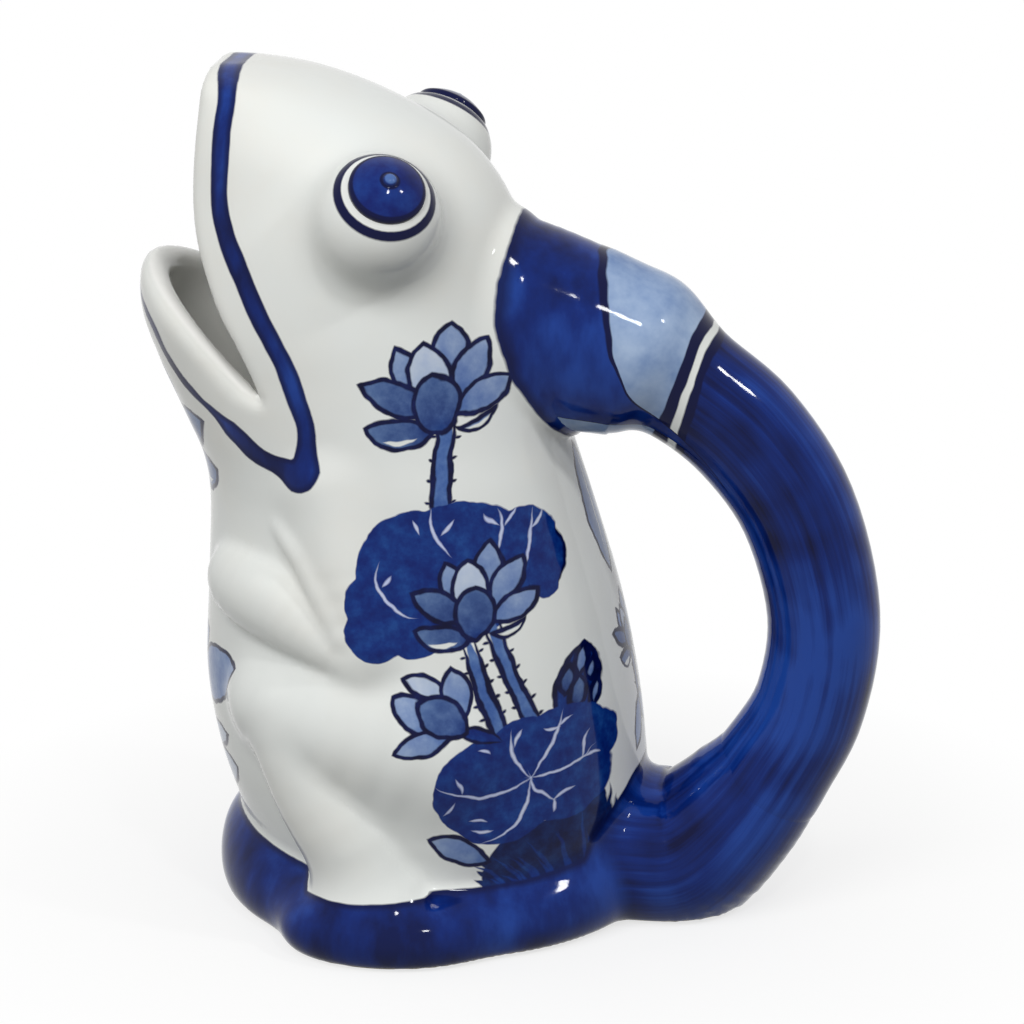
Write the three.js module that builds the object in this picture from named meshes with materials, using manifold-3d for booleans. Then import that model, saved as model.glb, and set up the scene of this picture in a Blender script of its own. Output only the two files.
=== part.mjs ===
// Frog pitcher: a hollow ceramic jug in the form of a sitting frog with its mouth open as the spout.
// Millimetres, +Z up. The frog looks along -X, its left side is at -Y and the handle is at +X.
// The origin lies on the surface that the jug stands on, below the middle of its outline.

import * as THREE from 'three';
import { mergeVertices } from 'three/addons/utils/BufferGeometryUtils.js';
import Module from 'manifold-3d';

const wasm = await Module();
wasm.setup();

// The film of slip between two clay pieces
const SLIP = 0.3;

// Walls
const BODY_WALL = 6;
const HANDLE_WALL = 5;
const FLOOR_THICKNESS = 5;

// Heights above the table
const FLOOR_UNDERSIDE = 4;
const NECK_HEIGHT = 138;

// Body from the foot to the crown: reach of the outer wall to the front, to the back and to each side
const BODY = [
  { z: FLOOR_UNDERSIDE, front: 43, back: 54, side: 44 },
  { z: 14, front: 48, back: 59, side: 49.5 },
  { z: 30, front: 54, back: 63, side: 54 },
  { z: 46, front: 59, back: 62.5, side: 55.5 },
  { z: 66, front: 62, back: 60, side: 55 },
  { z: 90, front: 61.2, back: 55, side: 51.5 },
  { z: 115, front: 60.3, back: 47.5, side: 48 },
  { z: 128, front: 62, back: 43.3, side: 47 },
  { z: 140, front: 67.2, back: 39.5, side: 46 },
  { z: 156, front: 74.5, back: 36, side: 45.5 },
  { z: 171, front: 79, back: 32.5, side: 45 },
  { z: 190, front: 77.5, back: 28, side: 42.5 },
  { z: 205, front: 74, back: 21.5, side: 39 },
  { z: 217, front: 71, back: 10.5, side: 35 },
  { z: 226.5, front: 68, back: -6.5, side: 28.5 },
  { z: 233, front: 65, back: -23.5, side: 21.5 },
  { z: 237.5, front: 61, back: -42, side: 11 },
];

// Mouth seen from the side, as reach to the front and height: one rim for each jaw, from the corner outwards
const MOUTH_CORNER = { front: 37.5, z: 153 };
const UPPER_RIM = [
  { front: 39.5, z: 158 },
  { front: 43.5, z: 166 },
  { front: 51.5, z: 180.5 },
  { front: 58, z: 203 },
  { front: 57.5, z: 238 },
];
const LOWER_RIM = [
  { front: 46, z: 159.8 },
  { front: 60, z: 172 },
  { front: 78, z: 186 },
];

// Skirt round the foot, given as the body is, and the ledge in it that carries the floor
const PLINTH = [
  { z: 0, front: 55, back: 63, side: 58 },
  { z: 3, front: 57.8, back: 66, side: 60 },
  { z: 8, front: 59, back: 68, side: 60.5 },
  { z: 14, front: 58.8, back: 68.5, side: 57 },
  { z: 20, front: 57, back: 67.5, side: 50 },
  { z: 26, front: 52.5, back: 65, side: 44 },
  { z: 32, front: 44, back: 60, side: 36 },
];
const FLOOR_LEDGE = 9;

// Limbs lie on the body: angle round it from the front, height, radius and how far they stand proud of it
const UPPER_ARM = [
  { angle: 78, z: 128, radius: 13, proud: 2.5 },
  { angle: 80, z: 108, radius: 13.5, proud: 4.5 },
  { angle: 85, z: 86, radius: 9.5, proud: 4 },
];
const FOREARM = [
  { angle: 84, z: 81, radius: 5, proud: 2.5 },
  { angle: 72, z: 88, radius: 9, proud: 5 },
  { angle: 58, z: 95, radius: 13.5, proud: 7 },
  { angle: 40, z: 98, radius: 13, proud: 7.5 },
  { angle: 30, z: 99, radius: 11, proud: 5.5 },
];
const THIGH = [
  { angle: 52, z: 66, radius: 13, proud: 6 },
  { angle: 70, z: 62, radius: 19, proud: 6.5 },
  { angle: 100, z: 55, radius: 23, proud: 4 },
];
const SHIN = [
  { angle: 58, z: 66, radius: 14, proud: 6.5 },
  { angle: 67, z: 42, radius: 15, proud: 8 },
  { angle: 78, z: 18, radius: 15.5, proud: 10 },
];

// Hind foot: a mound on the skirt
const FOOT_CENTRE = { front: 4, side: 55, z: 6 };
const FOOT_LENGTH = 49;
const FOOT_WIDTH = 29;
const FOOT_HEIGHT = 21;

// Eyes: a mound on the head with a domed disc on its flat top
const EYE_CENTRE = { front: 0.5, side: 47.5, z: 214 };
const EYE_DIRECTION = { back: 0.31, side: 0.62, up: 0.72 };
const MOUND_FOOT_RADIUS = 20;
const MOUND_TOP_RADIUS = 13;
const MOUND_DEPTH = 20;
const EYE_RADIUS = 10.4;
const EYE_EDGE = 1;
const EYE_DOME = 3.5;
const NIPPLE_RADIUS = 1.8;
const NIPPLE_HEIGHT = 1.2;

// Handle: middle line as reach to the back and height, with half of its height and width there
const HANDLE = [
  { back: 12, z: 168, tall: 32, wide: 26 },
  { back: 31, z: 165.5, tall: 28.5, wide: 25 },
  { back: 53, z: 160.5, tall: 24.5, wide: 23.5 },
  { back: 62.5, z: 157.5, tall: 22.7, wide: 22.5 },
  { back: 73, z: 151.2, tall: 17.7, wide: 17.6 },
  { back: 89.8, z: 137.8, tall: 17.2, wide: 16.9 },
  { back: 104.3, z: 116.5, tall: 16.6, wide: 16.4 },
  { back: 112, z: 87, tall: 16.1, wide: 16.1 },
  { back: 109, z: 61, tall: 16.1, wide: 16.1 },
  { back: 100, z: 42.5, tall: 16.5, wide: 16.7 },
  { back: 89, z: 26.3, tall: 19, wide: 21.5 },
  { back: 75.5, z: 15, tall: 21.8, wide: 27.5 },
  { back: 57, z: 14, tall: 22.5, wide: 29 },
];
const COLLAR_END = 2;
const BULB_END = 4;

// Fineness of the surfaces
const BODY_SIDES = 36;
const BODY_STEPS = 26;
const PLINTH_STEPS = 8;
const LIMB_SIDES = 16;
const LIMB_STEPS = 11;
const LIMB_END_SHARE = 0.18;
const HANDLE_SIDES = 22;
const HANDLE_STEPS_PER_POINT = 2;
const EYE_SIDES = 24;
const EYE_STEPS = 5;

const LEAST_RADIUS = 1;
const SIDEWAYS = new THREE.Vector3(0, 1, 0);

const WHITE_GLAZE = new THREE.MeshStandardMaterial({ color: 0xe6e7e2, roughness: 0.12, metalness: 0 });
const COBALT_GLAZE = new THREE.MeshStandardMaterial({ color: 0x12246f, roughness: 0.12, metalness: 0 });
const PALE_BLUE_GLAZE = new THREE.MeshStandardMaterial({ color: 0x879bc9, roughness: 0.12, metalness: 0 });
const BARE_CLAY = new THREE.MeshStandardMaterial({ color: 0xd9d2c4, roughness: 0.8, metalness: 0 });

// A solid for joining and cutting, from a closed three.js geometry
function solidOf(geometry) {
  const bare = geometry.clone();
  bare.deleteAttribute('normal');
  bare.deleteAttribute('uv');
  const merged = mergeVertices(bare);
  return new wasm.Manifold(new wasm.Mesh({
    numProp: 3,
    vertProperties: new Float32Array(merged.attributes.position.array),
    triVerts: new Uint32Array(merged.index.array),
  }));
}

// A named mesh from a finished solid
function meshOf(solid, name, material) {
  const { vertProperties, triVerts } = solid.getMesh();
  const geometry = new THREE.BufferGeometry();
  geometry.setAttribute('position', new THREE.BufferAttribute(vertProperties, 3));
  geometry.setIndex(new THREE.BufferAttribute(triVerts, 1));
  geometry.computeVertexNormals();
  const mesh = new THREE.Mesh(geometry, material);
  mesh.name = name;
  return mesh;
}

// A closed skin over a row of rings with equal numbers of points, with a fan over each end
function loft(rings) {
  const sides = rings[0].length;
  const points = rings.flat();
  const middleOf = (ring) => ring.reduce((sum, p) => sum.add(p), new THREE.Vector3()).divideScalar(sides);
  const firstMiddle = points.push(middleOf(rings[0])) - 1;
  const lastMiddle = points.push(middleOf(rings.at(-1))) - 1;
  const lastRing = (rings.length - 1) * sides;
  const index = [];
  for (let side = 0; side < sides; side += 1) {
    const next = (side + 1) % sides;
    for (let start = 0; start < lastRing; start += sides) {
      index.push(start + side, start + next, start + sides + next);
      index.push(start + side, start + sides + next, start + sides + side);
    }
    index.push(firstMiddle, next, side);
    index.push(lastMiddle, lastRing + side, lastRing + next);
  }
  const geometry = new THREE.BufferGeometry().setFromPoints(points);
  geometry.setIndex(index);
  return geometry;
}

// A smooth row of values through a table, read at a share of its length
function tableCurve(table, ...keys) {
  const points = table.map((row) => new THREE.Vector3(...keys.map((key) => row[key])));
  return new THREE.CatmullRomCurve3(points, false, 'catmullrom');
}

// The sections of a table of reaches, at even shares of its length
function sectionsOf(table, steps) {
  const reach = tableCurve(table, 'front', 'back', 'side');
  const height = tableCurve(table, 'z', 'z', 'z');
  return Array.from({ length: steps + 1 }, (_, step) => {
    const share = step / steps;
    const { x: front, y: back, z: side } = reach.getPoint(share);
    return { z: height.getPoint(share).z, front, back, side };
  });
}

// One horizontal oval, grown outwards by a margin
function ovalRing({ z, front, back, side }, margin, sides) {
  const middle = (back - front) / 2;
  const halfLength = Math.max((front + back) / 2 + margin, LEAST_RADIUS);
  const halfWidth = Math.max(side + margin, LEAST_RADIUS);
  return Array.from({ length: sides }, (_, i) => {
    const angle = (i / sides) * 2 * Math.PI;
    return new THREE.Vector3(middle + halfLength * Math.cos(angle), halfWidth * Math.sin(angle), z);
  });
}

const bodySections = sectionsOf(BODY, BODY_STEPS);
const plinthSections = sectionsOf(PLINTH, PLINTH_STEPS);
const crownHeight = BODY.at(-1).z;
const widestSide = Math.max(...BODY.map((row) => row.side));

// A stack of ovals as a filled solid, grown by a margin at its sides and underside
function ovalStack(sections, margin) {
  const rings = sections.map((section) => ovalRing(section, margin, BODY_SIDES));
  rings[0].forEach((point) => { point.z -= margin; });
  return solidOf(loft(rings));
}

// The hollow in the body: its wall keeps its thickness over the crown as well
function bodyHollow() {
  const sections = bodySections.map((section) => {
    const share = Math.max(0, (section.z - NECK_HEIGHT) / (crownHeight - NECK_HEIGHT));
    return { ...section, z: section.z - BODY_WALL * share };
  });
  const rings = sections.map((section) => ovalRing(section, -BODY_WALL, BODY_SIDES));
  rings[0].forEach((point) => { point.z -= BODY_WALL; });
  return solidOf(loft(rings));
}

// A block that spans the whole part between two heights, cut generously past its ends
function slab(bottom, top) {
  const span = HANDLE.reduce((most, row) => Math.max(most, row.back + row.tall), 0) + crownHeight;
  const block = new THREE.BoxGeometry(2 * span, 2 * span, top - bottom);
  block.translate(0, 0, (bottom + top) / 2);
  return solidOf(block);
}

// A side-view outline, in reach to the front and height, carried across the whole width
function acrossWidth(outline) {
  const span = widestSide + crownHeight;
  const geometry = new THREE.ExtrudeGeometry(outline, { depth: 2 * span, bevelEnabled: false });
  geometry.rotateX(Math.PI / 2);
  geometry.translate(0, span, 0);
  return solidOf(geometry);
}

// An outline that follows a rim from the mouth's corner and then closes round the front
function frontOutline(rim, corner) {
  const last = rim.at(-1);
  const far = last.front + crownHeight;
  const before = rim.at(-2);
  const rise = (last.z - before.z) / (last.front - before.front);
  const outline = new THREE.Shape();
  outline.moveTo(-corner.front, corner.z);
  outline.splineThru(rim.map((point) => new THREE.Vector2(-point.front, point.z)));
  if (last.front > before.front) {
    outline.lineTo(-far, last.z + rise * crownHeight);
  } else {
    outline.lineTo(-last.front, last.z + crownHeight);
    outline.lineTo(-far, last.z + crownHeight);
  }
  outline.lineTo(-far, NECK_HEIGHT - crownHeight);
  outline.lineTo(-corner.front, NECK_HEIGHT - crownHeight);
  outline.closePath();
  return outline;
}

// The point at an angle round the body from its front, set in by a depth
function onBody(angle, z, depth, side) {
  const share = bodySections.findIndex((section) => section.z >= z);
  const upper = bodySections[share];
  const lower = bodySections[share - 1];
  const blend = (z - lower.z) / (upper.z - lower.z);
  const at = (key) => THREE.MathUtils.lerp(lower[key], upper[key], blend);
  const turn = THREE.MathUtils.degToRad(angle);
  const halfLength = (at('front') + at('back')) / 2;
  const outward = new THREE.Vector2(-Math.cos(turn) * at('side'), Math.sin(turn) * halfLength).normalize();
  const x = (at('back') - at('front')) / 2 - halfLength * Math.cos(turn) - depth * outward.x;
  const y = at('side') * Math.sin(turn) - depth * outward.y;
  return new THREE.Vector3(x, side * y, z);
}

// A round-ended limb over the body, grown outwards by a margin
function limb(table, side, margin) {
  const centres = table.map(({ angle, z, radius, proud }) => onBody(angle, z, radius - proud, side));
  const path = new THREE.CatmullRomCurve3(centres, false, 'catmullrom');
  const radii = tableCurve(table, 'radius', 'radius', 'radius');
  const rings = [];
  for (let step = 0; step <= LIMB_STEPS; step += 1) {
    const share = (1 - Math.cos((step / LIMB_STEPS) * Math.PI)) / 2;
    const fromEnd = Math.min(share, 1 - share, LIMB_END_SHARE) / LIMB_END_SHARE;
    const rounding = Math.sqrt(1 - (1 - fromEnd) ** 2);
    const grown = radii.getPoint(path.getUtoTmapping(share)).x + margin;
    const radius = Math.max(grown * rounding, LEAST_RADIUS);
    const centre = path.getPointAt(share);
    const along = path.getTangentAt(share);
    const across = new THREE.Vector3().crossVectors(along, SIDEWAYS).normalize();
    const outward = new THREE.Vector3().crossVectors(along, across);
    rings.push(Array.from({ length: LIMB_SIDES }, (_, i) => {
      const turn = (i / LIMB_SIDES) * 2 * Math.PI;
      return centre.clone()
        .addScaledVector(across, radius * Math.cos(turn))
        .addScaledVector(outward, radius * Math.sin(turn));
    }));
  }
  return solidOf(loft(rings));
}

// A turned solid whose axis starts at a point on the eye and runs outwards
function turnedOnEye(profile, side) {
  const { back, side: aside, up } = EYE_DIRECTION;
  const direction = new THREE.Vector3(back, side * aside, up).normalize();
  const geometry = new THREE.LatheGeometry(profile, EYE_SIDES);
  geometry.applyQuaternion(new THREE.Quaternion().setFromUnitVectors(SIDEWAYS, direction));
  geometry.translate(-EYE_CENTRE.front, side * EYE_CENTRE.side, EYE_CENTRE.z);
  return solidOf(geometry);
}

// The mound under an eye: it spreads like a bell towards the head and ends in a flat top
function moundProfile() {
  const profile = [new THREE.Vector2(0, -MOUND_DEPTH)];
  for (let step = 0; step <= EYE_STEPS; step += 1) {
    const share = step / EYE_STEPS;
    const spread = (MOUND_FOOT_RADIUS - MOUND_TOP_RADIUS) * Math.cos(share * Math.PI / 2);
    profile.push(new THREE.Vector2(MOUND_TOP_RADIUS + spread, MOUND_DEPTH * (share - 1)));
  }
  profile.push(new THREE.Vector2(0, 0));
  return profile;
}

// The domed eye with the small nipple in its middle
function eyeProfile() {
  const profile = [new THREE.Vector2(0, SLIP)];
  for (let step = 0; step < EYE_STEPS; step += 1) {
    const radius = THREE.MathUtils.lerp(EYE_RADIUS, NIPPLE_RADIUS, step / (EYE_STEPS - 1));
    const height = SLIP + EYE_EDGE + EYE_DOME * (1 - (radius / EYE_RADIUS) ** 2);
    profile.push(new THREE.Vector2(radius, height));
  }
  profile.splice(1, 0, new THREE.Vector2(EYE_RADIUS, SLIP));
  profile.push(new THREE.Vector2(0, SLIP + EYE_EDGE + EYE_DOME + NIPPLE_HEIGHT));
  return profile;
}

// One stretch of the handle between two of its points, drawn in by a wall and lengthened at both ends
function handleStretch(from, to, wall, longer) {
  const steps = (to - from) * HANDLE_STEPS_PER_POINT;
  const path = tableCurve(HANDLE, 'back', 'z', 'z');
  const halves = tableCurve(HANDLE, 'tall', 'wide', 'wide');
  const rings = [];
  for (let step = 0; step <= steps; step += 1) {
    const share = (from + (to - from) * step / steps) / (HANDLE.length - 1);
    const tangent = path.getTangent(share);
    const along = new THREE.Vector3(tangent.x, 0, tangent.y).normalize();
    const across = new THREE.Vector3(-along.z, 0, along.x);
    const { x: tall, y: wide } = halves.getPoint(share);
    const { x: back, y: z } = path.getPoint(share);
    const shift = step === 0 ? -longer : step === steps ? longer : 0;
    const centre = new THREE.Vector3(back, 0, z).addScaledVector(along, shift);
    rings.push(Array.from({ length: HANDLE_SIDES }, (_, i) => {
      const turn = (i / HANDLE_SIDES) * 2 * Math.PI;
      const point = centre.clone().addScaledVector(across, (tall - wall) * Math.sin(turn));
      point.y = (wide - wall) * Math.cos(turn);
      return point;
    }));
  }
  return solidOf(loft(rings));
}

// A hollow stretch of the handle, open at both ends and half a film of slip short of its neighbours
function handlePiece(from, to) {
  const hollow = handleStretch(from, to, HANDLE_WALL, SLIP).subtract(slab(-crownHeight, HANDLE_WALL));
  return handleStretch(from, to, 0, -SLIP / 2).subtract(hollow);
}

const bodySeat = ovalStack(bodySections, SLIP);
const plinthSeat = ovalStack(plinthSections, SLIP);
const underTable = slab(-crownHeight, 0);
const floorTop = FLOOR_UNDERSIDE + FLOOR_THICKNESS;
const outerBody = ovalStack(bodySections, 0);
const bodyShell = outerBody.subtract(bodyHollow());
const aboveNeck = bodyShell.intersect(slab(NECK_HEIGHT + SLIP / 2, 2 * crownHeight));

// The floor and the skirt that carries it
function makeFoot() {
  const floor = outerBody.intersect(slab(FLOOR_UNDERSIDE, floorTop));
  const [lowest] = bodySections;
  const opening = [-crownHeight, floorTop].map((z) => ovalRing({ ...lowest, z }, -FLOOR_LEDGE, BODY_SIDES));
  const skirt = ovalStack(plinthSections, 0).subtract(bodySeat).subtract(solidOf(loft(opening)));
  return [meshOf(floor, 'floor_disc', BARE_CLAY), meshOf(skirt, 'base_plinth', COBALT_GLAZE)];
}

// The belly wall, the head and the pouring lip
function makeVessel() {
  const torso = bodyShell.intersect(slab(floorTop + SLIP, NECK_HEIGHT - SLIP / 2));
  const head = aboveNeck.subtract(acrossWidth(frontOutline(UPPER_RIM, MOUTH_CORNER)));
  const jawCorner = { ...MOUTH_CORNER, front: MOUTH_CORNER.front + SLIP };
  const jaw = aboveNeck.intersect(acrossWidth(frontOutline(LOWER_RIM, jawCorner)));
  return [
    meshOf(torso, 'torso', WHITE_GLAZE),
    meshOf(head, 'head', WHITE_GLAZE),
    meshOf(jaw, 'lower_jaw', WHITE_GLAZE),
  ];
}

// The limbs and the eye of one side, cut to sit on what carries them
function makeSide(name, side) {
  const frontLegOf = (margin) => limb(UPPER_ARM, side, margin).add(limb(FOREARM, side, margin));
  const hindLegOf = (margin) => limb(THIGH, side, margin).add(limb(SHIN, side, margin));
  const ball = new THREE.SphereGeometry(1, LIMB_SIDES, LIMB_STEPS);
  ball.scale(FOOT_LENGTH / 2, FOOT_WIDTH / 2, FOOT_HEIGHT / 2);
  ball.translate(-FOOT_CENTRE.front, side * FOOT_CENTRE.side, FOOT_CENTRE.z);
  const frontLeg = frontLegOf(0).subtract(bodySeat);
  const hindLeg = hindLegOf(0).subtract(bodySeat).subtract(plinthSeat).subtract(frontLegOf(SLIP));
  const footMound = solidOf(ball).subtract(underTable);
  const foot = footMound.subtract(bodySeat).subtract(plinthSeat).subtract(hindLegOf(SLIP));
  const mound = turnedOnEye(moundProfile(), side).subtract(bodySeat);
  const eye = turnedOnEye(eyeProfile(), side);
  return [
    meshOf(frontLeg, `${name}_front_leg`, WHITE_GLAZE),
    meshOf(hindLeg, `${name}_hind_leg`, WHITE_GLAZE),
    meshOf(foot, `${name}_hind_foot`, COBALT_GLAZE),
    meshOf(mound, `${name}_eye_mound`, WHITE_GLAZE),
    meshOf(eye, `${name}_eye`, COBALT_GLAZE),
  ];
}

// The handle from the neck to the foot
function makeHandle() {
  const collar = handlePiece(0, COLLAR_END).subtract(bodySeat);
  const bulb = handlePiece(COLLAR_END, BULB_END);
  const grip = handlePiece(BULB_END, HANDLE.length - 1).subtract(bodySeat).subtract(plinthSeat);
  return [
    meshOf(collar, 'handle_collar', COBALT_GLAZE),
    meshOf(bulb, 'handle_bulb', PALE_BLUE_GLAZE),
    meshOf(grip.subtract(underTable), 'handle_grip', COBALT_GLAZE),
  ];
}

const pitcher = new THREE.Group();
pitcher.add(...makeFoot(), ...makeVessel(), ...makeHandle());
pitcher.add(...makeSide('left', -1), ...makeSide('right', 1));
const outline = new THREE.Box3().setFromObject(pitcher);
pitcher.position.x = -(outline.min.x + outline.max.x) / 2;

const part = new THREE.Group();
part.add(pitcher);

export default part;
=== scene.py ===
"""A glazed ceramic pitcher in the form of a sitting frog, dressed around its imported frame."""

from __future__ import annotations

import logging
import math
from dataclasses import dataclass, field
from enum import Enum
from typing import Any

import bpy
import numpy as np
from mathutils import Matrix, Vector

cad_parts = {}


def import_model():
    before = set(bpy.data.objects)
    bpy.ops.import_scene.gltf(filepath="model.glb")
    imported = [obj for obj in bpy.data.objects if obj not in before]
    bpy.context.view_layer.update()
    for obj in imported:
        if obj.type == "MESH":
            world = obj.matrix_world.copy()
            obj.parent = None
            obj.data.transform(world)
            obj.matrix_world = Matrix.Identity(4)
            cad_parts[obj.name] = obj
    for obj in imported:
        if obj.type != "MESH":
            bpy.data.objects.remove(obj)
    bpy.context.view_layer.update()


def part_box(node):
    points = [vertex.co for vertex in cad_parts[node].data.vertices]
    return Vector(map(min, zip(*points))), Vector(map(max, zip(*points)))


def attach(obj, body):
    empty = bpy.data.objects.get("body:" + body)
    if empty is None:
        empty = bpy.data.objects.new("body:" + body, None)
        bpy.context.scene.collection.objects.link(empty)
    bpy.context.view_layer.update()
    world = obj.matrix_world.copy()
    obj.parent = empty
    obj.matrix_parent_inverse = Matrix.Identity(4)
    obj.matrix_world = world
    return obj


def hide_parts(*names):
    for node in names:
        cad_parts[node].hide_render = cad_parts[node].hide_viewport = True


LOG = logging.getLogger("frog_pitcher")
MM = 0.001
FAR = 1e9
TINY = 1e-6
# The film of slip between two clay pieces, in mm.
SLIP = 0.3
Rows = tuple[tuple[float, ...], ...]
Pair = tuple[float, float]
Triple = tuple[float, float, float]
Tree = bpy.types.NodeTree
Socket = bpy.types.NodeSocket


def linear(hex_colour: str) -> tuple[float, float, float, float]:
    """Turns an sRGB hex colour into the linear colour that shaders take.

    Args:
        hex_colour: The colour as "#RRGGBB".

    Returns:
        Linear red, green and blue, and an alpha of 1.
    """
    parts = [int(hex_colour[i : i + 2], 16) / 255 for i in (1, 3, 5)]
    red, green, blue = (c / 12.92 if c <= 0.04045 else ((c + 0.055) / 1.055) ** 2.4 for c in parts)
    return (red, green, blue, 1.0)


def add_node(tree: Tree, kind: str, inputs: dict[Any, Any] | None = None, **settings: Any) -> Any:
    """Adds one node with its settings and links.

    Args:
        tree: The node tree that gets the node.
        kind: The node's type name.
        inputs: What goes into each input, by name or index: an output socket to link, or a value.
        settings: Attributes of the node itself.

    Returns:
        The new node.
    """
    node = tree.nodes.new(kind)
    for name, value in settings.items():
        setattr(node, name, value)
    for key, value in (inputs or {}).items():
        if isinstance(value, Socket):
            tree.links.new(value, node.inputs[key])
        else:
            node.inputs[key].default_value = value
    return node


def through(rows: Rows, steps: int) -> np.ndarray:
    """Draws an even spline through table rows.

    Args:
        rows: The rows that it passes through.
        steps: How many points it has between two rows.

    Returns:
        The points of the spline, one per line.
    """
    knots = np.array(rows, float)
    ends = np.vstack([2 * knots[0] - knots[1], knots, 2 * knots[-1] - knots[-2]])
    points = []
    for before, start, end, after in zip(ends, ends[1:], ends[2:], ends[3:]):
        t = np.arange(steps)[:, None] / steps
        leave, arrive = (end - before) / 2, (after - start) / 2
        square = 3 * (end - start) - 2 * leave - arrive
        cube = 2 * (start - end) + leave + arrive
        points.append(start + leave * t + square * t**2 + cube * t**3)
    return np.vstack([*points, knots[-1:]])


def soft_min(a: np.ndarray, b: np.ndarray, width: float | np.ndarray) -> np.ndarray:
    """Joins two distances with a fillet of that width."""
    share = np.clip(0.5 + 0.5 * (b - a) / width, 0, 1)
    return b + (a - b) * share - width * share * (1 - share)


def soft_max(a: np.ndarray, b: np.ndarray, width: float | np.ndarray) -> np.ndarray:
    """Cuts two distances against each other with a rounded edge of that width."""
    return -soft_min(-a, -b, width)


def along_line(
    x: np.ndarray, z: np.ndarray, line: np.ndarray
) -> tuple[np.ndarray, np.ndarray, np.ndarray]:
    """Finds the nearest place on a line in the side view.

    Args:
        x: Positions along the length, in mm.
        z: Heights in mm.
        line: Points of the line.

    Returns:
        The distance, the piece's index plus the share along it, and the signed offset to the line's left.
    """
    best = np.full(x.shape, FAR)
    place = np.zeros(x.shape)
    offset = np.zeros(x.shape)
    for i, (start, end) in enumerate(zip(line[:-1], line[1:])):
        dx, dz = end[0] - start[0], end[1] - start[1]
        run = max(math.hypot(dx, dz), TINY)
        t = ((x - start[0]) * dx + (z - start[1]) * dz) / run**2
        share = np.clip(t, 0, 1)
        gap = np.hypot(x - start[0] - share * dx, z - start[1] - share * dz)
        nearer = gap < best
        best = np.where(nearer, gap, best)
        place = np.where(nearer, i + t, place)
        offset = np.where(nearer, (dx * (z - start[1]) - dz * (x - start[0])) / run, offset)
    return best, place, offset


def oval_gap(x: np.ndarray, y: np.ndarray, long: np.ndarray, wide: np.ndarray) -> np.ndarray:
    """Measures how far points are outside an oval.

    Args:
        x: Places along the oval's length, from its middle, in mm.
        y: Places across it, in mm.
        long: Its half length.
        wide: Its half width.

    Returns:
        Signed distances, close to true ones near the oval.
    """
    u, v = x / long, y / wide
    ratio = np.hypot(u, v) + TINY
    return (ratio - 1) * ratio / np.maximum(np.hypot(u / long, v / wide), TINY)


def fold_over(p: np.ndarray) -> np.ndarray:
    """Folds points of both sides onto the right side, at +Y."""
    return np.column_stack([p[:, 0], np.abs(p[:, 1]), p[:, 2]])


@dataclass
class OvalStack:
    """A body of oval sections: height, reach to the front, reach to the back and half width, in mm."""

    rows: Rows
    steps: int = 24

    def __post_init__(self) -> None:
        """Draws the profile once."""
        self.profile = through(self.rows, self.steps)

    def sizes(self, z: np.ndarray, margin: float = 0.0) -> tuple[np.ndarray, np.ndarray, np.ndarray]:
        """Reads the oval at a height.

        Args:
            z: Heights in mm.
            margin: Growth of the section in mm.

        Returns:
            The oval's middle, half length and half width.
        """
        front, back, side = (np.interp(z, self.profile[:, 0], self.profile[:, i]) + margin for i in (1, 2, 3))
        return (back - front) / 2, np.maximum((front + back) / 2, 1), np.maximum(side, 1)

    def distance(self, p: np.ndarray, margin: float = 0.0) -> np.ndarray:
        """Measures how far points are outside the wall.

        Args:
            p: Points in mm.
            margin: Growth of the section in mm.

        Returns:
            Signed distances, without the two ends.
        """
        middle, long, wide = self.sizes(p[:, 2], margin)
        return oval_gap(p[:, 0] - middle, p[:, 1], long, wide)


@dataclass
class Limb:
    """A limb that lies on the body: angle from the front, height, radius and how far it stands proud."""

    rows: Rows
    blend: float
    steps: int = 4

    def beads(self, body: OvalStack) -> np.ndarray:
        """Places the limb's round sections.

        Args:
            body: The body that carries the limb.

        Returns:
            Centre and radius of each section, in mm, on the right side.
        """
        made = []
        for angle, z, radius, proud in through(self.rows, self.steps):
            turn = math.radians(angle)
            middle, long, wide = (float(v) for v in body.sizes(np.array(z)))
            out = np.array([-math.cos(turn) / long, math.sin(turn) / wide])
            out /= np.linalg.norm(out)
            inset = radius - proud
            x = middle - long * math.cos(turn) - out[0] * inset
            y = wide * math.sin(turn) - out[1] * inset
            made.append((x, y, z, radius))
        return np.array(made)


def bead_chain(p: np.ndarray, beads: np.ndarray) -> np.ndarray:
    """Measures the distance to a chain of round sections that run into each other.

    Args:
        p: Points in mm, folded onto the right side.
        beads: Centre and radius of each section.

    Returns:
        Signed distances.
    """
    best = np.full(len(p), FAR)
    for start, end in zip(beads[:-1], beads[1:]):
        run = end[:3] - start[:3]
        share = np.clip((p - start[:3]) @ run / (run @ run), 0, 1)
        gap = np.linalg.norm(p - start[:3] - share[:, None] * run, axis=1)
        best = np.minimum(best, gap - start[3] - share * (end[3] - start[3]))
    return best


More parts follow.
